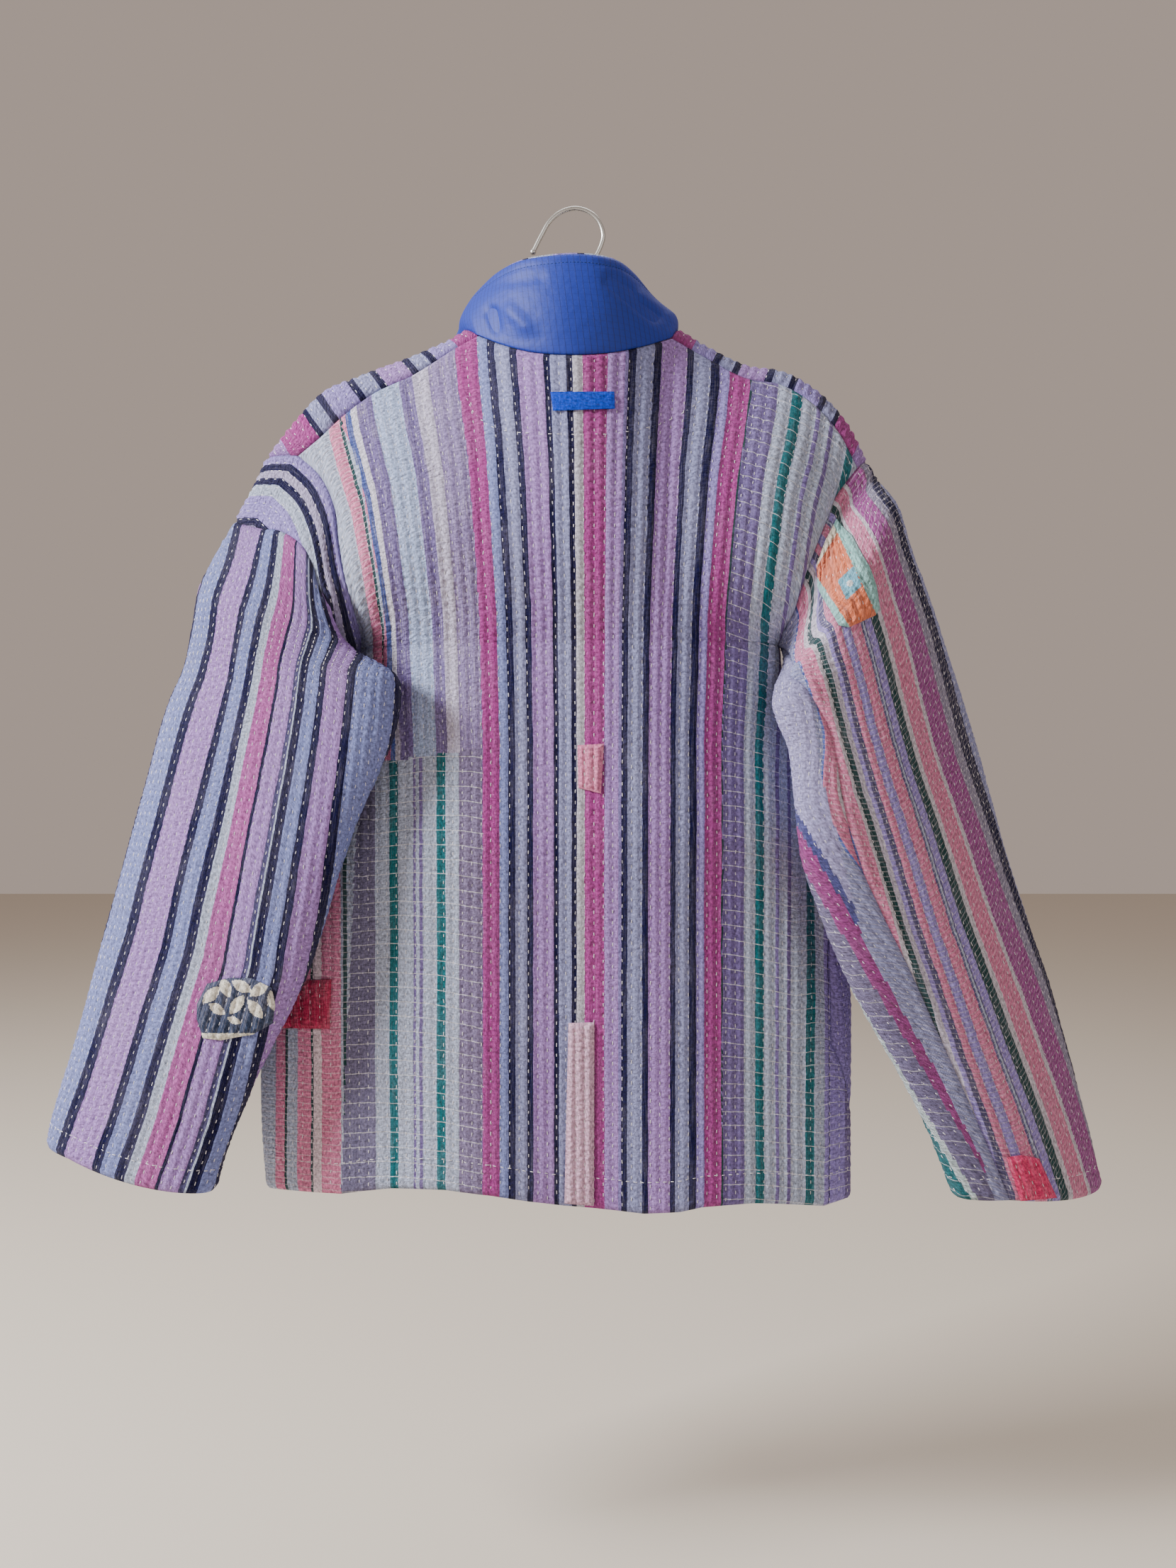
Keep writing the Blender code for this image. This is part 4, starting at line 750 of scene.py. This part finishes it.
mid = band_grid(np.linspace(0, 1, fine_v), np.linspace(0, 1, 33)).transpose(1, 0, 2)
head = Cloth("sleeve_head_cloth", mid, lengths(mid, 0), lengths(mid, 1), False)
head_mat = striped("striped_sleeve_head", [(0, LILAC), (9, NAVY), (15.5, "a59cc0"), (22.5, NAVY),
                                           (29, PALE), (40, LILAC)])
head_cloth = head.build([head_mat])
head_stitches = sew("sleeve_head_stitches", stitch_places(head), thread)
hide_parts("sleeve_head_left")
ride(head_cloth, head_stitches)


# The sleeves are tubes of quilted striped cotton, closed by a seam under the arm, with a line of
# stitches round the cuff. The right one has a strip of other cloths let in obliquely under the arm.
# Each row below is one section: its outer edge, its inner edge and half its depth.
CUFF_IN = 19               # the cuff's stitches lie this far in from its edge
SLEEVE_LEFT = [(-306, -5, -318, -175, -70, -373, 37), (-322, -9, -385, -150, -88, -393, 32),
               (-334, -10, -414, -155, -86, -436, 31), (-345, -12, -452, -176, -84, -486, 30),
               (-356, -12, -490, -195, -84, -535, 30), (-383, -14, -589, -226, -82, -634, 29),
               (-402, -16, -660, -253, -78, -692, 28), (-425, -18, -736, -286, -74, -759, 27),
               (-435, -20, -776, -303, -72, -811, 26)]
SLEEVE_RIGHT = [(258, 3, -240, 181, -46, -381, 42), (273, 5, -282, 171, -76, -396, 37),
                (288.5, 6, -326, 170, -86, -410, 34), (300, 6, -362, 174, -89, -424, 32),
                (312, 6, -397, 181, -90, -440, 31), (328, 6, -444, 187, -92, -490, 30),
                (344, 4, -500, 194, -92, -543, 29), (370, 2, -589, 228, -90, -630, 28),
                (391, 0, -652, 257, -86, -687, 27), (420, -2, -756, 300, -82, -769, 25),
                (433, -4, -804, 320, -80, -821, 24)]
# how far round the tube the seam has wandered at each section
SEAM_SHIFT_LEFT = [-0.09, -0.12] + 7 * [-0.13]
SEAM_SHIFT_RIGHT = [0.015, 0.03, 0.06, 0.07, 0.075, 0.08, 0.09, 0.11, 0.11, 0.11, 0.12]
UNDERARMS = [(-180, -6, -372), (167, -5, -362)]


def station_ring(outer, inner, thick, shift, us):
    """One section of a sleeve: u from its seam round the front, the outer edge and the back."""
    wide = (outer - inner) / 2
    unit = wide / np.linalg.norm(wide)
    deep = np.array([0, -1.0, 0]) + unit * unit[1]
    deep = deep / np.linalg.norm(deep) * thick
    a = math.pi + 2 * math.pi * np.linspace(0, 1, 721)
    ring = (outer + inner) / 2 + np.cos(a)[:, None] * wide + np.sin(a)[:, None] * deep
    return even(ring, (us - shift) % 1.0)


def relax(grid, point, times):
    """Even out the folds of a tube round the underarm."""
    w = np.exp(-(np.linalg.norm(grid - point, axis=2) / 32) ** 2)[:, 1:-1, None]
    for k in range(times):
        g = grid[:-1]
        mean = (np.roll(g, 1, 0) + np.roll(g, -1, 0))[:, 1:-1] + g[:, 2:] + g[:, :-2]
        step = (mean / 4 - g[:, 1:-1]) * w[:-1] * 0.5
        grid[:-1, 1:-1] += step
        grid[-1, 1:-1] = grid[0, 1:-1]


def sleeve_grid(side, us, vs):
    """A sleeve: u from its seam round the front, v from its head to the cuff."""
    us, vs = np.asarray(us, float), np.asarray(vs, float)
    if side < 0:
        rings = [closed(real(BAND_LEFT), us)]
        table, shifts = SLEEVE_LEFT, SEAM_SHIFT_LEFT
    else:
        rings = [closed(armhole(1), us)]
        t = smooth(-362, -210, rings[0][:, 2])[:, None]
        rings.append(rings[0] + 11 * (np.array([1, 0, 0.05]) * (1 - t) + np.array([0.5, 0, -0.87]) * t))
        table, shifts = SLEEVE_RIGHT, SEAM_SHIFT_RIGHT
    for row, shift in zip(table, shifts):
        p = real([row[:3], row[3:6]])
        rings.append(station_ring(p[0], p[1], row[6], shift, us))
    rings = np.array(rings)
    mids = rings.mean(axis=1)
    knots = np.r_[0, np.cumsum(np.linalg.norm(np.diff(mids, axis=0), axis=1) + 6)]
    grid = along(rings, vs, knots / knots[-1]).transpose(1, 0, 2)
    # by the underarm the cloth runs straight from the armhole to the first full section
    if side < 0:
        first = along(rings, [0.25], knots / knots[-1])[0][:, None]
        k = np.clip(vs / 0.25, 0, 1)[None, :, None]
        near = np.exp(-(np.minimum(us, 1 - us) / 0.06) ** 4)[:, None, None] * (vs < 0.25)[None, :, None]
        grid += (rings[0][:, None] * (1 - k) + first * k - grid) * near
    relax(grid, UNDERARMS[0 if side < 0 else 1], 5 if side < 0 else 30)
    droop = 6 * np.clip(np.sin(math.pi + 2 * math.pi * us), 0, 1)[:, None] * smooth(0.8, 1, vs)[None]
    grid[:, :, 2] -= droop
    return grid


SLEEVE_ROWS = np.r_[0, 0.03, 0.065, 0.1, 0.14, 0.19, 0.25, 0.32, np.linspace(0.4, 1, 8)]
# one stripe of each sleeve as it runs down the photograph, and how far the stripes lie apart
STRIPE_LEFT = [(700, 386), (748, 374), (780, 367), (822, 357.5), (863, 344.5), (924, 332), (958, 326),
               (1000, 315.5), (1134, 283), (1268, 251), (1335, 236.5), (1478, 193.5), (1565, 166),
               (1622, 146), (1700, 120)]
STRIPE_RIGHT = [(640, 1126), (689, 1152), (729, 1178), (779, 1200), (832, 1219), (877, 1230),
                (908, 1239), (953, 1251), (1015, 1266.5), (1091, 1287), (1200, 1324), (1305, 1359),
                (1403, 1395.5), (1467, 1418.5), (1561, 1453.5), (1653, 1485), (1720, 1507)]
SPREAD_LEFT = [(748, 0.78), (1000, 0.9), (1268, 1), (1640, 1.04)]
SPREAD_RIGHT = [(760, 0.9), (900, 1), (1091, 1), (1650, 1.2)]


def sleeve_cloth(side, name, stripe, spread, folds):
    """A sleeve as fine cloth; places across it are counted round the tube from the named stripe."""
    coarse = sleeve_grid(side, np.linspace(0, 1, 49), SLEEVE_ROWS)
    rows, cols = ((241, 209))
    fine = along(coarse, np.linspace(0, 1, cols), np.linspace(0, 1, 49))
    fine = along(fine.transpose(1, 0, 2), np.linspace(0, 1, rows), SLEEVE_ROWS).transpose(1, 0, 2)
    px, py = pixels(fine)
    level, at = np.array(stripe, float).T
    slope = np.interp(py, level, np.gradient(at, level))
    way = np.stack([slope, np.zeros_like(slope), -np.ones_like(slope)], 2)
    way = (way / np.linalg.norm(way, axis=2, keepdims=True))[1:]
    step = np.diff(fine, axis=0)
    step = np.linalg.norm(step - (step * way).sum(axis=2, keepdims=True) * way, axis=2)
    step /= np.interp(py[1:], *zip(*spread))
    run = np.vstack([np.zeros((1, rows)), np.cumsum(step, axis=0)])
    behind = grid_normals(fine)[:, :, 1] * side < -0.05
    off = (px - np.interp(py, level, at)) * -side
    for j in range(rows):
        back_part = np.flatnonzero(behind[:, j])
        order = back_part[np.argsort(off[back_part, j])]
        run[:, j] -= np.interp(0, off[order, j], run[order, j])
    return Cloth(name, fine, run * -side, lengths(fine, 1), side < 0, folds)


left = sleeve_cloth(-1, "sleeve_left_cloth", STRIPE_LEFT, SPREAD_LEFT, [(300, 900, 330, 1500, 30, 2.0)])
right = sleeve_cloth(1, "sleeve_right_cloth", STRIPE_RIGHT, SPREAD_RIGHT,
                     [(1180, 1000, 1330, 1500, 26, 2.5)])
left_mat = striped("striped_sleeve_left", measured(left, 1268, [
    (172, BLUEGREY), (193, NAVY), (205, PINKLILAC), (246, NAVY), (256, BLUEGREY), (277, NAVY), (289, PALE),
    (304, "a8569c"), (332, NAVY), (335, PINKLILAC), (361, "44406c"), (368, PALE), (371, NAVY),
    (382, BLUEGREY), (404, NAVY), (414, PINKLILAC), (449, NAVY), (459, BLUEGREY)]))
right_mat = striped("striped_sleeve_right", measured(right, 1091, [
    (1155, "4d62b0"), (1159, PINK), (1195, "c9c2d0"), (1200, DARKGREEN), (1208, "c3bdd2"),
    (1215, LILAC), (1222, "5a5680"), (1225, PALE), (1227, "5a5680"), (1229, PINK), (1240, LILAC),
    (1252, PINK), (1266, "5a5680"), (1268, PALE), (1270, "5a5680"), (1272, LILAC),
    (1282, DARKGREEN), (1293, "c9c2d0"), (1300, PINK), (1322, "c9c2d0"),
    (1327, "99478f"), (1354, "8b86a0"), (1365, NAVY), (1378, GREY)]),
    streaks=0.2, checks=(4.2, 0.8, "dcd3dc", 0.3))
under_limit = float(right.across[0].min()) - 60
UNDER_SEAM = [(910, 1094), (950, 1126), (998, 1144), (1091, 1155), (1203, 1184), (1316, 1211), (1410, 1260),
              (1509, 1317), (1638, 1383), (1700, 1401)]
UNDERSIDE = [("lilac", "9f9bcb"), ("mottled", "4a4c86"), ("magenta", "8e3b7e"), ("purple", "6b6488"),
             ("pale", "a9b7bd"), ("teal", "1c5f68")]


def under_zone(px, py, across):
    """The strip of other cloths under the right arm, cut obliquely by the seam; 0 is the sleeve's own."""
    q = px - 1150 - 0.6 * (py - 1263)
    index = 6 - np.searchsorted([-38, -28, 5, 33, 45], q)
    beyond = px < np.interp(py, *zip(*UNDER_SEAM)) + 3
    return np.where((across > under_limit) & (py > 930) & beyond, index, 0)


under_mats = [striped("underarm_" + word, [(0, code)], checks=(11.7, 0.7, "e4e3ea", 0.5) if k > 2 else None)
              for k, (word, code) in enumerate(UNDERSIDE)]
for cloth, mats, zone, node in ((left, [left_mat], None, "sleeve_left"),
                                (right, [right_mat] + under_mats, under_zone, "sleeve_right")):
    piece = cloth.build(mats, zone)
    stitches = sew(node + "_stitches", stitch_places(cloth), thread, seed=3)
    cuff_line = line_stitches(node + "_cuff_stitches", *level_line(cloth, CUFF_IN, True), thread)
    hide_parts(node)
    ride(piece, stitches, cuff_line)


# The stand collar has an under collar of crisp blue ripstop and an upper collar of quilted striped
# cotton. Both are sewn into the neck seam and to each other, and a blue topstitch holds their edge,
# where the upper collar rolls a little past the under one.
COLLAR_RISE = 0.2          # the collar starts this far above the neck seam
COLLAR_HALF = 0.95         # from the surface between the two collars to the middle of each
COLLAR_TOP = [(-42, 100, -198), (-76, 90, -172), (-95, 76, -138), (-99, 56, -108), (-93, 42, -94),
              (-86, 28, -75.5), (-75, 8, -62), (-61, -14, -50), (-44, -33, -42), (-21, -44, -38),
              (-3, -46, -36.6), (19.5, -43, -38), (35, -34, -42), (49, -18, -53), (60, 2, -67),
              (70, 24, -80), (76, 42, -94), (83, 58, -112), (88, 76, -138), (74, 90, -168),
              (44, 100, -196)]


def neckline():
    """The neck seam from the left front round the back to the right front."""
    v = np.linspace(1.55, 3, 200)
    left, right = (front_grid(side, [0.0, 1.0], v)[-1] for side in (-1, 1))
    back = back_grid(np.r_[0, np.linspace(US_NECK[0], US_NECK[1], 120), 1], [1.5, 2.0])[1:-1, -1]
    return np.vstack([left[:-1], back, right[::-1][1:]])


def collar_grid(low, us, vs):
    """The collar's middle surface from just above the neck seam to its edge."""
    high = even(along(real(COLLAR_TOP), np.linspace(0, 1, 801)), us)
    first = (COLLAR_RISE / np.linalg.norm(high - low, axis=1))[:, None]
    w = (first + (1 - first) * np.asarray(vs, float)[None])[:, :, None]
    grid = low[:, None] * (1 - w) + high[:, None] * w
    out = low - low.mean(axis=0)
    out[:, 2] = 0
    out /= np.linalg.norm(out, axis=1)[:, None]
    return grid + out[:, None] * 5 * np.sin(math.pi * w)


low = neckline()
share = np.linspace(0, 1, fine_u)
mid = collar_grid(even(low, share), share, np.linspace(0, 1, 41))
out = grid_normals(mid)
run = lengths(mid, 0)
run = run - run[len(run) // 2]
fall = lengths(mid, 1)
fall = fall - fall[:, -1:]
under = Cloth("under_collar_cloth", mid + out * COLLAR_HALF, run, fall, False, quilted=False, wall=0.7,
              folds=[(694, 442, 700, 470, 9, 4.5), (722, 440, 742, 462, 10, -2.2),
                     (664, 486, 760, 482, 9, 1.6), (863, 396, 925, 447, 10, 2.6),
                     (905, 420, 985, 470, 9, -1.8), (690, 400, 760, 392, 9, 1.4)])
TOPSTITCH_IN = 7.4         # the topstitch lies this far in from the edge
groove = 0.5 * np.exp(-((under.down + TOPSTITCH_IN) / 1.2) ** 2)
under.outer -= under.normal * groove[:, :, None]
peek = mid[:, -1] - mid[:, -2]
peek /= np.linalg.norm(peek, axis=1, keepdims=True)
mid[:, -1] += peek * (2.6 * smooth(0.16, 0.24, share) * smooth(0.72, 0.64, share))[:, None]
upper = Cloth("upper_collar_cloth", mid - out * COLLAR_HALF, run, lengths(mid, 1), True, wall=0.7)
ripstop, tree, shader, across, down = cloth_material("blue_ripstop_cloth")
RIB = 5.0                  # from one strong thread of the ripstop to the next
rib, grid = [math_node(tree, "LESS_THAN", math_node(tree, "FRACT", place), wide) for place, wide in
             ((math_node(tree, "DIVIDE", across, RIB), 0.14), (math_node(tree, "DIVIDE", down, RIB), 0.1))]
color = mix_colors(tree, math_node(tree, "MULTIPLY", rib, 0.55), dye("0a2b96"), dye("061552"))
color = mix_colors(tree, math_node(tree, "MULTIPLY", grid, 0.25), color, dye("061552"))
crumple = noise(tree, stretched(tree, across, down, 0.11, 0.13), 1.0, 4)
height = math_node(tree, "ADD", crumple, math_node(tree, "MULTIPLY", rib, 0.1))
finish_cloth(tree, shader, color, height, 0.5, 0.0012, 0.62)
blue_thread = plain_material("blue_thread", "1b3474", 0.7)
top = np.array([[np.interp(-TOPSTITCH_IN, under.down[i], under.outer[i, :, c]) for c in range(3)]
                for i in range(len(share))])
gap = np.linalg.norm(np.diff(top, axis=0), axis=1)
spots = np.arange(2.0, gap.sum() - 2, 3.0)
along_edge = np.r_[0, np.cumsum(gap)]
topstitch = sew("collar_topstitch", laid_along(spots, along_edge, top, under.normal[:, -8]), blue_thread,
                length=2.3, width=0.5)
under_cloth = under.build([ripstop])
upper_mat = striped("striped_upper_collar", [(-400, PALE), (-390, LILAC), (-370, NAVY), (-364, PALE)])
upper_cloth = upper.build([upper_mat])
upper_stitches = sew("upper_collar_stitches", stitch_places(upper), thread)
for piece, node, slot, extra in ((under_cloth, "under_collar", "blue_ripstop", topstitch),
                                 (upper_cloth, "upper_collar", "striped_cloth", upper_stitches)):
    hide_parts(node)
    ride(piece, extra)


# The label is a small bare strip of woven blue tape, laid on below the neck. The six patches are
# scraps of plain and printed cotton, laid on the finished cloth and sewn down with running stitches.
# Outlines are in millimetres as seen from behind.
LABEL = [(-19.5, -152.8), (31.9, -152.2), (32.5, -166.4), (-17.7, -168.2)]
PINK_CENTRE = [(2.4, -444.9), (24.2, -443.7), (21.8, -485.0), (2.9, -480.3)]
PALE_HEM = [(-5.3, -675.0), (16.5, -674.4), (15.9, -827.0), (-8.9, -825.0)]
RED_SIDE = [(-234, -641), (-201, -639), (-202.4, -680.3), (-244, -680)]
LEAF_SLEEVE = [(-313, -660), (-305, -643), (-288, -638.4), (-268, -638.4), (-252, -646), (-249.5, -660),
               (-252, -675), (-268, -685), (-294, -690), (-308, -688), (-313, -672)]
DIAMOND_SLEEVE = [(216, -258), (231, -271.4), (243, -295.6), (249, -313.9), (251.3, -331.6),
                  (247.8, -337.5), (226.6, -347.5), (218.9, -346.3), (214.2, -333.4),
                  (203, -314), (200, -296), (207, -276)]
PINK_CUFF = [(357, -787.1), (368.8, -785.3), (383, -788.3), (398.3, -821), (368.8, -823.5)]


def place_on(cloth, xz):
    """Where points of the photograph's plane lie on a piece: place, normal and position along it."""
    s = seen(cloth.mid)
    du, dv = np.gradient(s, axis=0), np.gradient(s, axis=1)
    faces_back = cloth.normal[..., 1] < -0.15
    near = ((s[..., 0] > xz[:, 0].min() - 15) & (s[..., 0] < xz[:, 0].max() + 15) & faces_back
            & (s[..., 1] > xz[:, 1].min() - 15) & (s[..., 1] < xz[:, 1].max() + 15))
    ii, jj = np.nonzero(near)
    spots = s[ii, jj]
    best = np.concatenate([((chunk[:, None] - spots[None]) ** 2).sum(axis=2).argmin(axis=1)
                           for chunk in np.array_split(xz, max(1, len(xz) // 200))])
    i, j = ii[best], jj[best]
    a, b, gap = du[i, j], dv[i, j], xz - s[i, j]
    det = a[:, 0] * b[:, 1] - a[:, 1] * b[:, 0]
    fu = np.clip((gap[:, 0] * b[:, 1] - gap[:, 1] * b[:, 0]) / det, -2, 2)
    fv = np.clip((gap[:, 1] * a[:, 0] - gap[:, 0] * a[:, 1]) / det, -2, 2)

    def read(field):
        gu, gv = np.gradient(field, axis=0)[i, j], np.gradient(field, axis=1)[i, j]
        if field.ndim == 3:
            return field[i, j] + gu * fu[:, None] + gv * fv[:, None]
        return field[i, j] + gu * fu + gv * fv

    return read(cloth.mid), cloth.normal[i, j], read(cloth.soft), read(cloth.across), read(cloth.down)


PATCH_CELL = 0.7           # the points of a patch lie about this far apart


def patch_cloth(name, outline, corners, host, wall=0.8, lift=3.4, quilted=True):
    """A patch laid on a piece: its outline's four sides, from the upper left corner clockwise."""
    cell = PATCH_CELL * 1
    loop = np.array(outline, float)
    loop = np.vstack([np.roll(loop, -corners[0], axis=0), loop[corners[0]]])
    ends = [(c - corners[0]) for c in corners] + [len(outline)]
    sides = [np.c_[loop[ends[k]:ends[k + 1] + 1], np.zeros(ends[k + 1] - ends[k] + 1)] for k in range(4)]
    size = [np.linalg.norm(np.diff(side, axis=0), axis=1).sum() for side in sides]
    nu, nv = (4 * max(3, round(max(pair) / cell / 4)) + 1
              for pair in ((size[0], size[2]), (size[1], size[3])))
    u, v = np.linspace(0, 1, nu), np.linspace(0, 1, nv)
    top, right, low, left = (even(side, t)[:, :2] for side, t in zip(sides, (u, v, u, v)))
    right, low = right[::-1], low[::-1]
    uu, vv = u[:, None, None], v[None, :, None]
    flat = ((1 - vv) * low[:, None] + vv * top[:, None] + (1 - uu) * left[None] + uu * right[None]
            - (1 - uu) * (1 - vv) * low[0] - uu * (1 - vv) * low[-1] - (1 - uu) * vv * top[0]
            - uu * vv * top[-1])
    place, normal, soft, across, down = place_on(host, flat.reshape(-1, 2))
    mid = (place + normal * (soft + lift)[:, None]).reshape(nu, nv, 3)
    across, down = across.reshape(nu, nv), down.reshape(nu, nv)
    return Cloth(name, mid, across, down, False, quilted=quilted, wall=wall)


def plain_cotton(name, code, streaks=0.25, fading=0.15):
    return striped(name, [(0, code)], streaks=streaks, fading=fading)


def leaf_zone(px, py, across):
    """Cream leaves printed on slate: 0 ground, 1 leaf."""
    index = np.zeros(len(px), int)
    for x, y, turn, long, wide in ((298, 1404, 2.4, 34, 8), (318, 1394, 1.2, 30, 8), (341, 1392, 0.5, 32, 8),
                                   (366, 1396, 2.5, 34, 8), (384, 1412, 1.4, 30, 7), (306, 1424, 0.6, 28, 7),
                                   (334, 1418, 2.2, 34, 8), (360, 1424, 0.9, 34, 8),
                                   (330, 1440, 0.4, 22, 5)):
        along_leaf = (px - x) * math.cos(turn) + (py - y) * math.sin(turn)
        off = np.abs((py - y) * math.cos(turn) - (px - x) * math.sin(turn))
        index[off < wide * np.clip(1 - (along_leaf / long * 2) ** 2, 0, 1)] = 1
    index[py > 1458] = 1
    return index


def diamond_zone(px, py, across):
    """Orange field with a blue diamond, white in the middle; aqua strips and a cream corner."""
    x, y = px - 1199, py - 823
    index = np.zeros(len(px), int)
    index[(px - 1146) * -0.856 - (py - 810) * 0.5165 > 0] = 4
    index[(px - 1141.5) * -0.836 + (py - 810) * 0.548 > -7] = 3
    index[(px - 1179.5) * 0.902 - (py - 734) * 0.4316 > -6] = 3
    index[np.abs(x + 0.2 * y) / 18 + np.abs(y - 0.2 * x) / 25 < 1] = 1
    index[x ** 2 + y ** 2 < 22] = 2
    return index


label_cloth = patch_cloth("label_cloth", LABEL, (0, 1, 2, 3), back, wall=0.45, lift=3.9, quilted=False)
woven = plain_cotton("woven_blue_label", "0c3fc8", 0.02, 0.02)
specs = [("patch_pink_centre", PINK_CENTRE, (0, 1, 2, 3), back, ["d87fa6"], None, "pink_cloth"),
         ("patch_pale_hem", PALE_HEM, (0, 1, 2, 3), back, ["d3a9c4"], None, "pale_cloth"),
         ("patch_red_side", RED_SIDE, (0, 1, 2, 3), back, ["b0214f"], None, "red_cloth"),
         ("patch_leaf_sleeve", LEAF_SLEEVE, (1, 4, 6, 9), left,
          ["333f5c", "e2ddd0"], leaf_zone, "slate_cloth"),
         ("patch_diamond_sleeve", DIAMOND_SLEEVE, (0, 4, 6, 10), right,
          ["e07a55", "6fb0c8", "e6e4e6", "8fc4c2", "ddd2bf"], diamond_zone, "orange_cloth"),
         ("patch_pink_cuff", PINK_CUFF, (0, 2, 3, 4), right, ["d63a6e"], None, "pink_cloth")]
pieces = [(label_cloth, label_cloth.build([woven]), "label", None, "label_blue")]
for node, outline, corners, host, dyes, zone, slot in specs:
    cloth = patch_cloth(node + "_cloth", outline, corners, host)
    mats = [plain_cotton(node + "_dye_%d" % (k + 1), code) for k, code in enumerate(dyes)]
    places = stitch_places(cloth)
    sewn = sew(node + "_stitches", places, thread) if len(places) else None
    pieces.append((cloth, cloth.build(mats, zone), node, sewn, slot))
for cloth, piece, node, stitches, slot in pieces:
    size = lengths(cloth.mid, 0)[-1].mean() / 1000, lengths(cloth.mid, 1)[:, -1].mean() / 1000
    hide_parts(node)
    ride(*[part for part in (piece, stitches) if part])


# The hanger is a slim bar of varnished beech with a hook of bright steel wire screwed into its middle.
# The jacket's shoulders hang over the bar, and the hook, with a rounded tip, carries the whole.
WIRE = 3.8                 # thickness of the hook's wire
WIRE_SIDES = 24
HOOK = [(-34.8, 0, -34.2), (-27.7, 0, -20.1), (-20.7, 0, -8.3), (-9.4, 0, 0), (0, 0, 2.1),
        (8.3, 0, 0.6), (16.5, 0, -4.4), (21.8, 0, -12.4), (23.6, 0, -20.7), (21.2, 0, -30.1),
        (17.7, 0, -37.2), (8, 0, -50), (2, 0, -62), (0, 0, -76), (0, 0, -90.7)]

line = along(np.array(HOOK, float), np.linspace(0, 1, 161))
tangent = np.gradient(line, axis=0)
tangent /= np.linalg.norm(tangent, axis=1, keepdims=True)
side_way = np.cross(tangent, [0, 1, 0])
a = np.linspace(0, 2 * math.pi, WIRE_SIDES + 1)[:-1]
rings = line[:, None] + (WIRE / 2) * (np.cos(a)[None, :, None] * side_way[:, None]
                                      + np.sin(a)[None, :, None] * np.array([0, 1.0, 0]))
verts = np.vstack([rings.reshape(-1, 3), line[:1], line[-1:]])
i, k = np.meshgrid(np.arange(len(rings) - 1), np.arange(WIRE_SIDES), indexing="ij")
p, q = (i * WIRE_SIDES + k).ravel(), (i * WIRE_SIDES + (k + 1) % WIRE_SIDES).ravel()
faces = np.stack([p, q, q + WIRE_SIDES, p + WIRE_SIDES], 1).tolist()
n = len(rings) * WIRE_SIDES
for k in range(WIRE_SIDES):
    faces += [[n, (k + 1) % WIRE_SIDES, k]]
for k in range(n - WIRE_SIDES, n):
    faces += [[n + 1, k, k + 1 if k < n - 1 else n - WIRE_SIDES]]
steel = plain_material("bright_steel_wire", "c9c9c6", 0.36, metallic=1.0)
hook = mesh_object("hook_wire", verts, faces, [steel])
bpy.ops.mesh.primitive_uv_sphere_add(segments=32, ring_count=16, radius=0.0026, location=line[0] / 1000)
tip = bpy.context.object
tip.name = "hook_tip"
tip.data.materials.append(steel)
tip.data.polygons.foreach_set("use_smooth", np.ones(len(tip.data.polygons), bool))
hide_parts("hanger_hook")
ride(hook, tip)

wood = bpy.data.materials.new("varnished_beech")
wood.use_nodes = True
tree = wood.node_tree
place = tree.nodes.new("ShaderNodeTexCoord")
scale = tree.nodes.new("ShaderNodeMapping")
scale.inputs["Scale"].default_value = (6, 60, 60)
tree.links.new(place.outputs["Object"], scale.inputs[0])
grain = noise(tree, scale.outputs[0], 3.0, 4)
shader = tree.nodes["Principled BSDF"]
tree.links.new(mix_colors(tree, grain, dye("b98a55"), dye("8a5d33")), shader.inputs["Base Color"])
shader.inputs["Roughness"].default_value = 0.4
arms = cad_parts["hanger_arms"]
arms.data.materials.clear()
arms.data.materials.append(wood)


# The stage is a plain pale floor under the hanging jacket, three soft studio lamps (the strongest low
# from the left, so that the quilting shows) and a camera square to the back, at the photograph's angle.
floor_mat = plain_material("pale_floor", "d6cdc0", 0.95)
bpy.ops.mesh.primitive_plane_add(size=14, location=(0, 0, -1.15))
floor = bpy.context.object
floor.name = "floor"
floor.data.materials.append(floor_mat)
# each lamp: name, place, size in metres and power in watts
LIGHTS = [("key", (-2.3, -1.0, 0.9), 0.7, 170), ("fill", (1.6, -2.2, 0.1), 2.0, 14),
          ("top", (0.1, 0.6, 1.7), 1.6, 24)]
for name, place, size, power_w in LIGHTS:
    data = bpy.data.lights.new(name, "AREA")
    data.size, data.energy = size, power_w
    lamp = bpy.data.objects.new(name, data)
    lamp.location = place
    aim = mathutils.Vector((0.01, 0, -0.45)) - mathutils.Vector(place)
    lamp.rotation_euler = aim.to_track_quat("-Z", "Y").to_euler()
    bpy.context.scene.collection.objects.link(lamp)
world = bpy.data.worlds.new("soft_room")
world.use_nodes = True
world.node_tree.nodes["Background"].inputs[0].default_value = dye("d9c6ba")
world.node_tree.nodes["Background"].inputs[1].default_value = 0.6
bpy.context.scene.world = world
data = bpy.data.cameras.new("photo_view")
data.sensor_fit, data.sensor_width, data.lens = "HORIZONTAL", 36, 40.45
camera = bpy.data.objects.new("photo_view", data)
camera.location = (0.0109, -1.1, -0.477)
camera.rotation_euler = (math.pi / 2, 0, 0)
bpy.context.scene.collection.objects.link(camera)
bpy.context.scene.camera = camera
